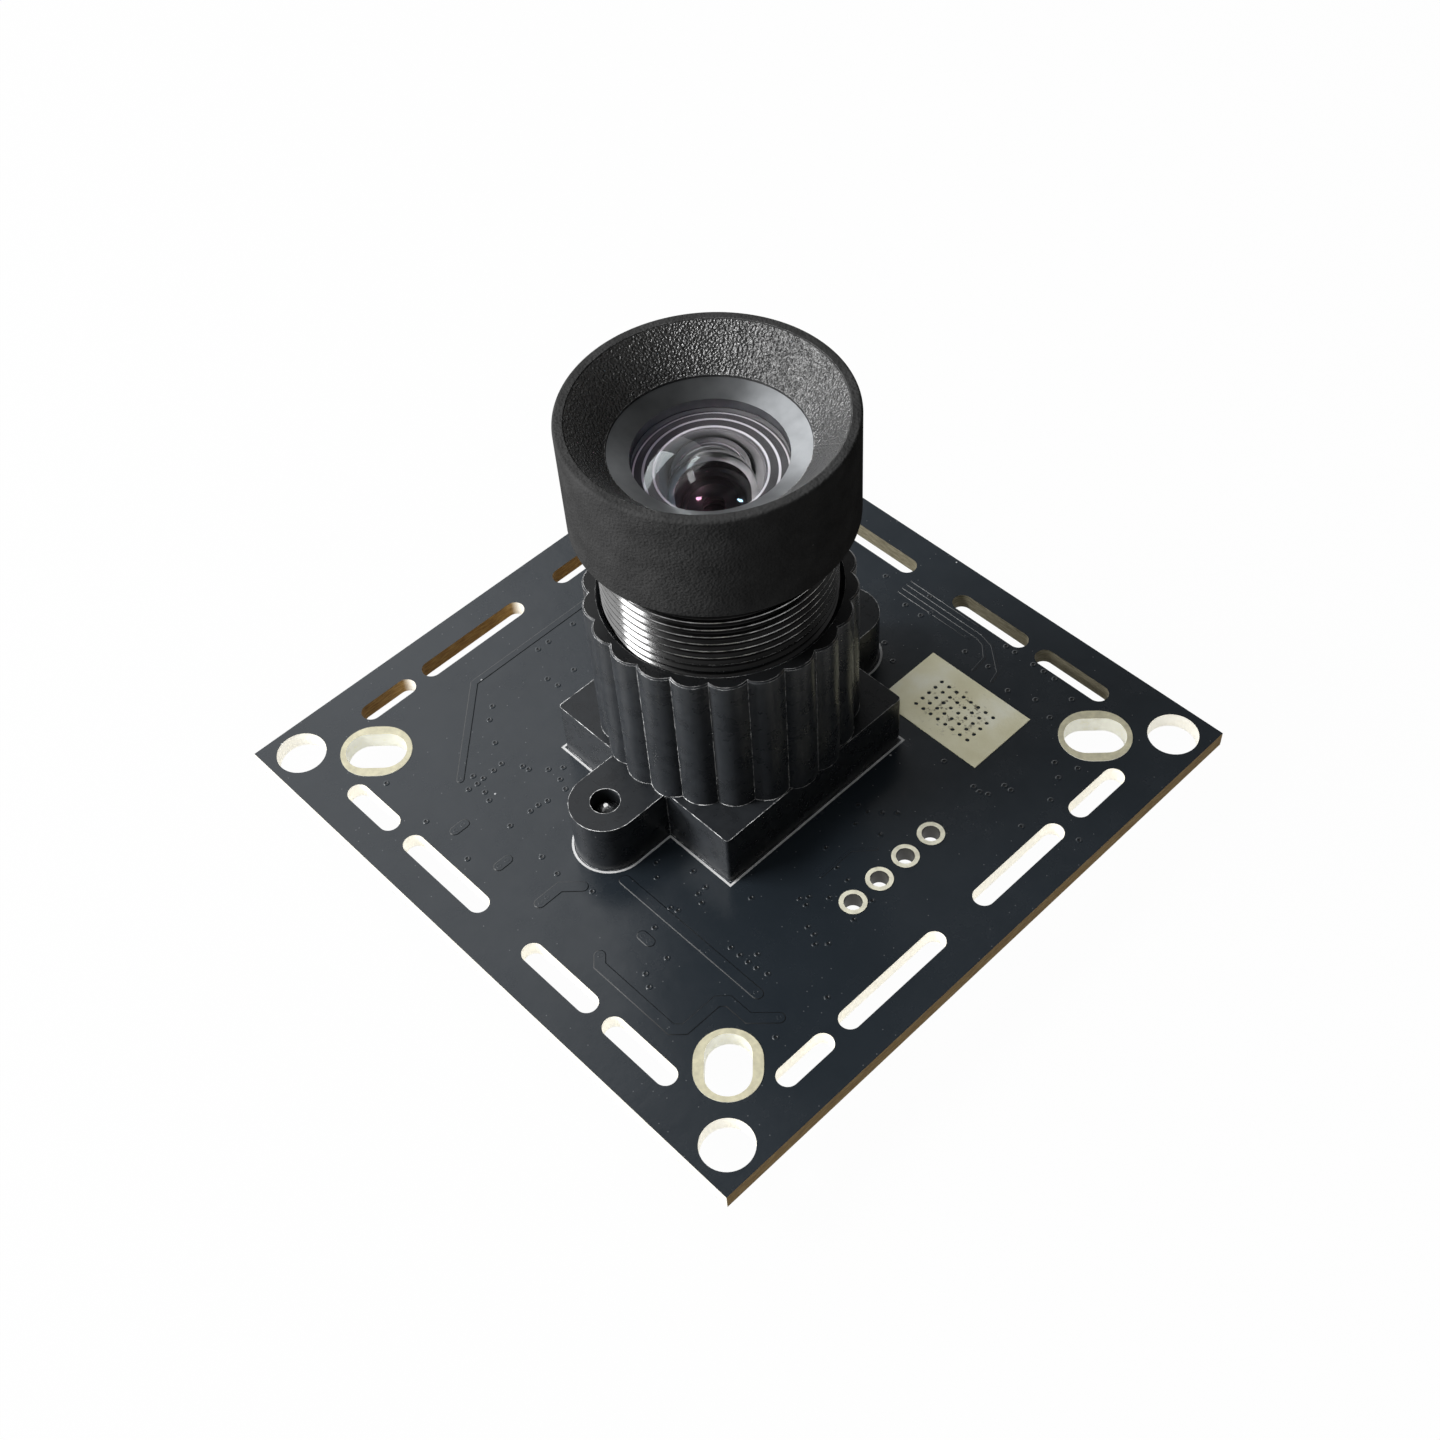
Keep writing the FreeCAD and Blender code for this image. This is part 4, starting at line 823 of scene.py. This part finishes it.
def add_round_end(store, end, before, width, height, slope):
    vertices, faces, kinds = store
    steps = 8
    away = math.atan2(end[1] - before[1], end[0] - before[0])
    start = len(vertices)
    vertices.append((end[0], end[1], FACE + height))
    for i in range(steps + 1):
        angle = away - math.pi / 2 + math.pi * i / steps
        for radius, up in ((width / 2 - slope, height), (width / 2, 0)):
            vertices.append((end[0] + radius * math.cos(angle), end[1] + radius * math.sin(angle), FACE + up))
    for i in range(steps):
        a = start + 1 + 2 * i
        faces += [(start, a, a + 2), (a, a + 1, a + 3, a + 2)]
        kinds += [0, 1]


def add_via(store, place, radius, level):
    """A ring with a dimple painted dark as shade, where the mask sinks into a filled hole."""
    vertices, faces, kinds = store
    sides = 12
    start = len(vertices)
    profile = ((1.0, 0.0), (0.72, 0.024), (0.5, 0.024), (0.3, 0.003))
    for share, up in profile:
        for i in range(sides):
            angle = 2 * math.pi * i / sides
            vertices.append((place[0] + share * radius * math.cos(angle),
                             place[1] + share * radius * math.sin(angle), level + up))
    for j in range(len(profile) - 1):
        for i in range(sides):
            n = (i + 1) % sides
            a, b = start + j * sides, start + (j + 1) * sides
            faces.append((a + i, a + n, b + n, b + i))
    faces.append(tuple(start + (len(profile) - 1) * sides + i for i in range(sides)))
    kinds += [0] * 2 * sides + [1] * (sides + 1)


def make_tracks(board):
    vertices, faces, kinds = [], [], []
    store = (vertices, faces, kinds)
    for width, points in TRACKS:
        slope = TRACK_SLOPE if width > THIN_TRACK else TRACK_SLOPE / 2
        add_ridge(store, points, width, TRACK_HEIGHT, slope)
    for place in VIAS:
        add_via(store, place, VIA_RADIUS, FACE)
    # Track slopes and via dimples are painted dark as shade
    slope_and_dimple_shade = plain("mask_painted_shade", (0.008, 0.010, 0.012), 0.35)
    return mesh_object("board_tracks", vertices, faces, [board, slope_and_dimple_shade], kinds, smooth_angle=20)


def outline_points():
    """The holder's outline: a square with a round-ended tongue on two sides."""
    half = FOOT_HALF + PRINT_GAP + PRINT_WIDTH / 2
    tongue = EAR_RADIUS + PRINT_GAP + PRINT_WIDTH / 2
    steps = 24
    points = []
    for side in (1, -1):
        points += [(side * half, -side * half), (side * half, side * half), (side * tongue, side * half)]
        for i in range(steps + 1):
            angle = math.pi * i / steps
            points.append((side * tongue * math.cos(angle), side * (EAR_PLACE + tongue * math.sin(angle))))
        points.append((-side * tongue, side * half))
    return points


def make_print():
    vertices, faces, kinds = [], [], []
    store = (vertices, faces, kinds)
    add_ridge(store, outline_points(), PRINT_WIDTH, PRINT_HEIGHT, PRINT_SLOPE, closed=True)
    ink = plain("white_ink", grey(0.90), 0.55, tint=0.08, grain_scale=6.0)
    return mesh_object("board_print", vertices, faces, [ink, ink], kinds)


# Camera, floor and light

def camera_axes():
    azimuth, elevation, roll = (math.radians(a) for a in (CAMERA_AZIMUTH, CAMERA_ELEVATION, CAMERA_ROLL))
    back = Vector((math.sin(azimuth) * math.cos(elevation), -math.cos(azimuth) * math.cos(elevation),
                   math.sin(elevation)))
    level = Vector((math.cos(azimuth), math.sin(azimuth), 0))
    upright = back.cross(level)
    right = level * math.cos(roll) + upright * math.sin(roll)
    up = upright * math.cos(roll) - level * math.sin(roll)
    return right, up, back


def make_camera():
    right, up, back = camera_axes()
    data = bpy.data.cameras.new("camera")
    data.sensor_width = SENSOR_WIDTH
    data.lens = FOCAL_LENGTH
    data.clip_start = 0.005
    data.clip_end = 10.0
    camera = bpy.data.objects.new("camera", data)
    bpy.context.scene.collection.objects.link(camera)
    place = (Vector(CAMERA_TARGET) + back * CAMERA_DISTANCE) * MM
    camera.matrix_world = Matrix.Translation(place) @ Matrix((right, up, back)).transposed().to_4x4()
    bpy.context.scene.camera = camera


def make_floor():
    """A floor that the camera, metal and glass see as white, with a faint shadow."""
    size = 3.0
    level = cad_box[0][2]
    mesh = bpy.data.meshes.new("floor")
    mesh.from_pydata([(x * size, y * size, level) for x, y in ((-1, -1), (1, -1), (1, 1), (-1, 1))],
                     [], [(0, 1, 2, 3)])
    floor = bpy.data.objects.new("floor", mesh)
    bpy.context.scene.collection.objects.link(floor)
    material = bpy.data.materials.new("floor")
    material.use_nodes = True
    tree = material.node_tree
    tree.nodes.clear()
    output = add(tree, "ShaderNodeOutputMaterial")
    matt = add(tree, "ShaderNodeBsdfDiffuse", Color=(0.35, 0.35, 0.35, 1))
    white = add(tree, "ShaderNodeEmission", Color=(1, 1, 1, 1), Strength=FLOOR_WHITE)
    path = add(tree, "ShaderNodeLightPath")
    seen = join(tree, "MAXIMUM", path.outputs["Is Camera Ray"], path.outputs["Is Glossy Ray"])
    seen = join(tree, "MAXIMUM", seen, path.outputs["Is Transmission Ray"])
    share = spread(tree, seen, 0.0, FLOOR_SEEN)
    both = blend_shaders(tree, share, matt.outputs["BSDF"], white.outputs["Emission"])
    tree.links.new(both, output.inputs["Surface"])
    mesh.materials.append(material)


def make_world():
    """White for the camera, a room that is bright on the left for metal and glass, and a soft glow."""
    world = bpy.data.worlds.new("studio")
    bpy.context.scene.world = world
    world.use_nodes = True
    tree = world.node_tree
    tree.nodes.clear()
    output = add(tree, "ShaderNodeOutputWorld")
    direction = add(tree, "ShaderNodeTexCoord").outputs["Generated"]
    _, _, up = parts(tree, direction)
    height = ramp(tree, up, [(level, grey(value)) for level, value in ROOM_HEIGHTS])
    across = add(tree, "ShaderNodeVectorMath", operation="DOT_PRODUCT")
    tree.links.new(direction, across.inputs[0])
    across.inputs[1].default_value = -camera_axes()[0]
    side = spread(tree, across.outputs["Value"], *ROOM_SIDES, -0.6, 0.5)
    seen = add(tree, "ShaderNodeBackground", Color=(1, 1, 1, 1), Strength=1.0)
    mirrored = add(tree, "ShaderNodeBackground")
    tree.links.new(height, mirrored.inputs["Color"])
    tree.links.new(side, mirrored.inputs["Strength"])
    glow = add(tree, "ShaderNodeBackground", Color=(0.94, 0.98, 1.0, 1), Strength=0.1)
    path = add(tree, "ShaderNodeLightPath")
    shiny = join(tree, "MAXIMUM", path.outputs["Is Glossy Ray"], path.outputs["Is Transmission Ray"])
    inner = blend_shaders(tree, shiny, glow.outputs["Background"], mirrored.outputs["Background"])
    outer = blend_shaders(tree, path.outputs["Is Camera Ray"], inner, seen.outputs["Background"])
    tree.links.new(outer, output.inputs["Surface"])


def make_lamp(name, azimuth, elevation, distance, width, height, radiance, colour=WHITE, receivers=None):
    """A lamp seen from the object as a bright rectangle; its azimuth is counted from the camera's right."""
    right, _, _ = camera_axes()
    level = Vector((right.x, right.y, 0)).normalized()
    ahead = Vector((-level.y, level.x, 0))
    a, e = math.radians(azimuth), math.radians(elevation)
    direction = (level * math.cos(a) + ahead * math.sin(a)) * math.cos(e) + Vector((0, 0, math.sin(e)))
    data = bpy.data.lights.new(name, "AREA")
    data.shape = "RECTANGLE"
    data.size = width * MM
    data.size_y = height * MM
    data.energy = radiance * math.pi * data.size * data.size_y
    data.color = colour
    lamp = bpy.data.objects.new(name, data)
    bpy.context.scene.collection.objects.link(lamp)
    lamp.location = (direction * distance + Vector((0, 0, LAMP_AIM))) * MM
    lamp.rotation_euler = direction.to_track_quat("Z", "Y").to_euler()
    if receivers is not None:
        lamp.light_linking.receiver_collection = receivers


def lit_only(name, *objects):
    """The collection of the objects that a lamp lights alone."""
    receivers = bpy.data.collections.new(name)
    for lit in objects:
        receivers.objects.link(lit)
    return receivers


def make_light(barrel, front, second):
    """The lamps, each with azimuth, elevation and distance, then width, height and radiance."""
    holder = lit_only("lit_holder", nodes["lens_holder"])
    metal = lit_only("lit_metal", nodes["heat_pad"], nodes["header_hole_plating"], nodes["slot_hole_plating"])
    glasses = lit_only("lit_glasses", front, second)
    make_lamp("key", 188, 43, 260, 120, 72, 17.5)
    make_lamp("window", 135, 42, 300, 280, 280, 1.3)
    make_lamp("fill", 222, 20, 260, 60, 60, 10.0)
    make_lamp("warm", 3, 14, 260, 20, 160, 1.5, (1.0, 0.8, 0.55))
    make_lamp("barrel_side", 190, 26, 260, 60, 60, 50.0, receivers=lit_only("lit_barrel", barrel))
    make_lamp("holder_side", 192, 12, 260, 50, 50, 165.0, receivers=holder)
    make_lamp("glass_strip", 140, 38, 300, 170, 60, 8.0, (0.92, 1.0, 1.0), lit_only("lit_front", front))
    make_lamp("metal_top", 270, 60, 260, 60, 60, 13.0, receivers=metal)
    make_lamp("glint_left", 180, 50, 300, 24, 20, 70.0, (0.85, 0.72, 1.0), glasses)
    make_lamp("glint_middle", 190, 80, 300, 12, 20, 90.0, (1.0, 0.45, 0.65), glasses)
    make_lamp("glint_right", -9, 71, 300, 12, 22, 90.0, (0.45, 0.7, 1.0), glasses)


def main():
    board = board_material()
    dress_nodes(board)
    make_camera()
    rims = [plain("ground_glass", grey(0.12), 0.6, tint=0.4, grain_depth=0.0),
            plain("pale_rim", grey(0.50), 0.6, tint=0.3, grain_depth=0.0),
            plain("dark_rim", grey(0.02), 0.6, grain_depth=0.0)]
    front_clear = glass_material("front_glass", GLASS_TINT, (0.36, 0.37, 0.38), GLASS_INDEX)
    second_clear = glass_material("second_glass", GLASS_TINT, (0.10, 0.02, 0.05), GLASS_INDEX)
    barrel = make_barrel()
    front = make_glass("front_glass", FRONT_GLASS_REAR + LIFT, FRONT_GROUP_RADIUS, FRONT_GLASS, FRONT_BEVEL,
                       FRONT_BANDS, [front_clear, *rims])
    second = make_glass("second_glass", SHOULDER + LIFT, FRONT_GROUP_RADIUS, SECOND_GLASS, SECOND_BEVEL,
                        SECOND_BANDS, [second_clear, *rims])
    pieces = [
        (barrel, "lens", "lens_barrel", "black_barrel"),
        (front, "lens", "front_element", "coated_glass"),
        (second, "lens", "second_element", "coated_glass"),
        (make_tracks(board), "board", None, "solder_mask_board"),
        (make_print(), "board", None, "solder_mask_board"),
    ]
    for piece, body, node, slot in pieces:
        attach(piece, body)
        if node:
            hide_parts(node)
    make_floor()
    make_world()
    make_light(barrel, front, second)
    scene = bpy.context.scene
    scene.view_settings.view_transform = "Standard"


main()
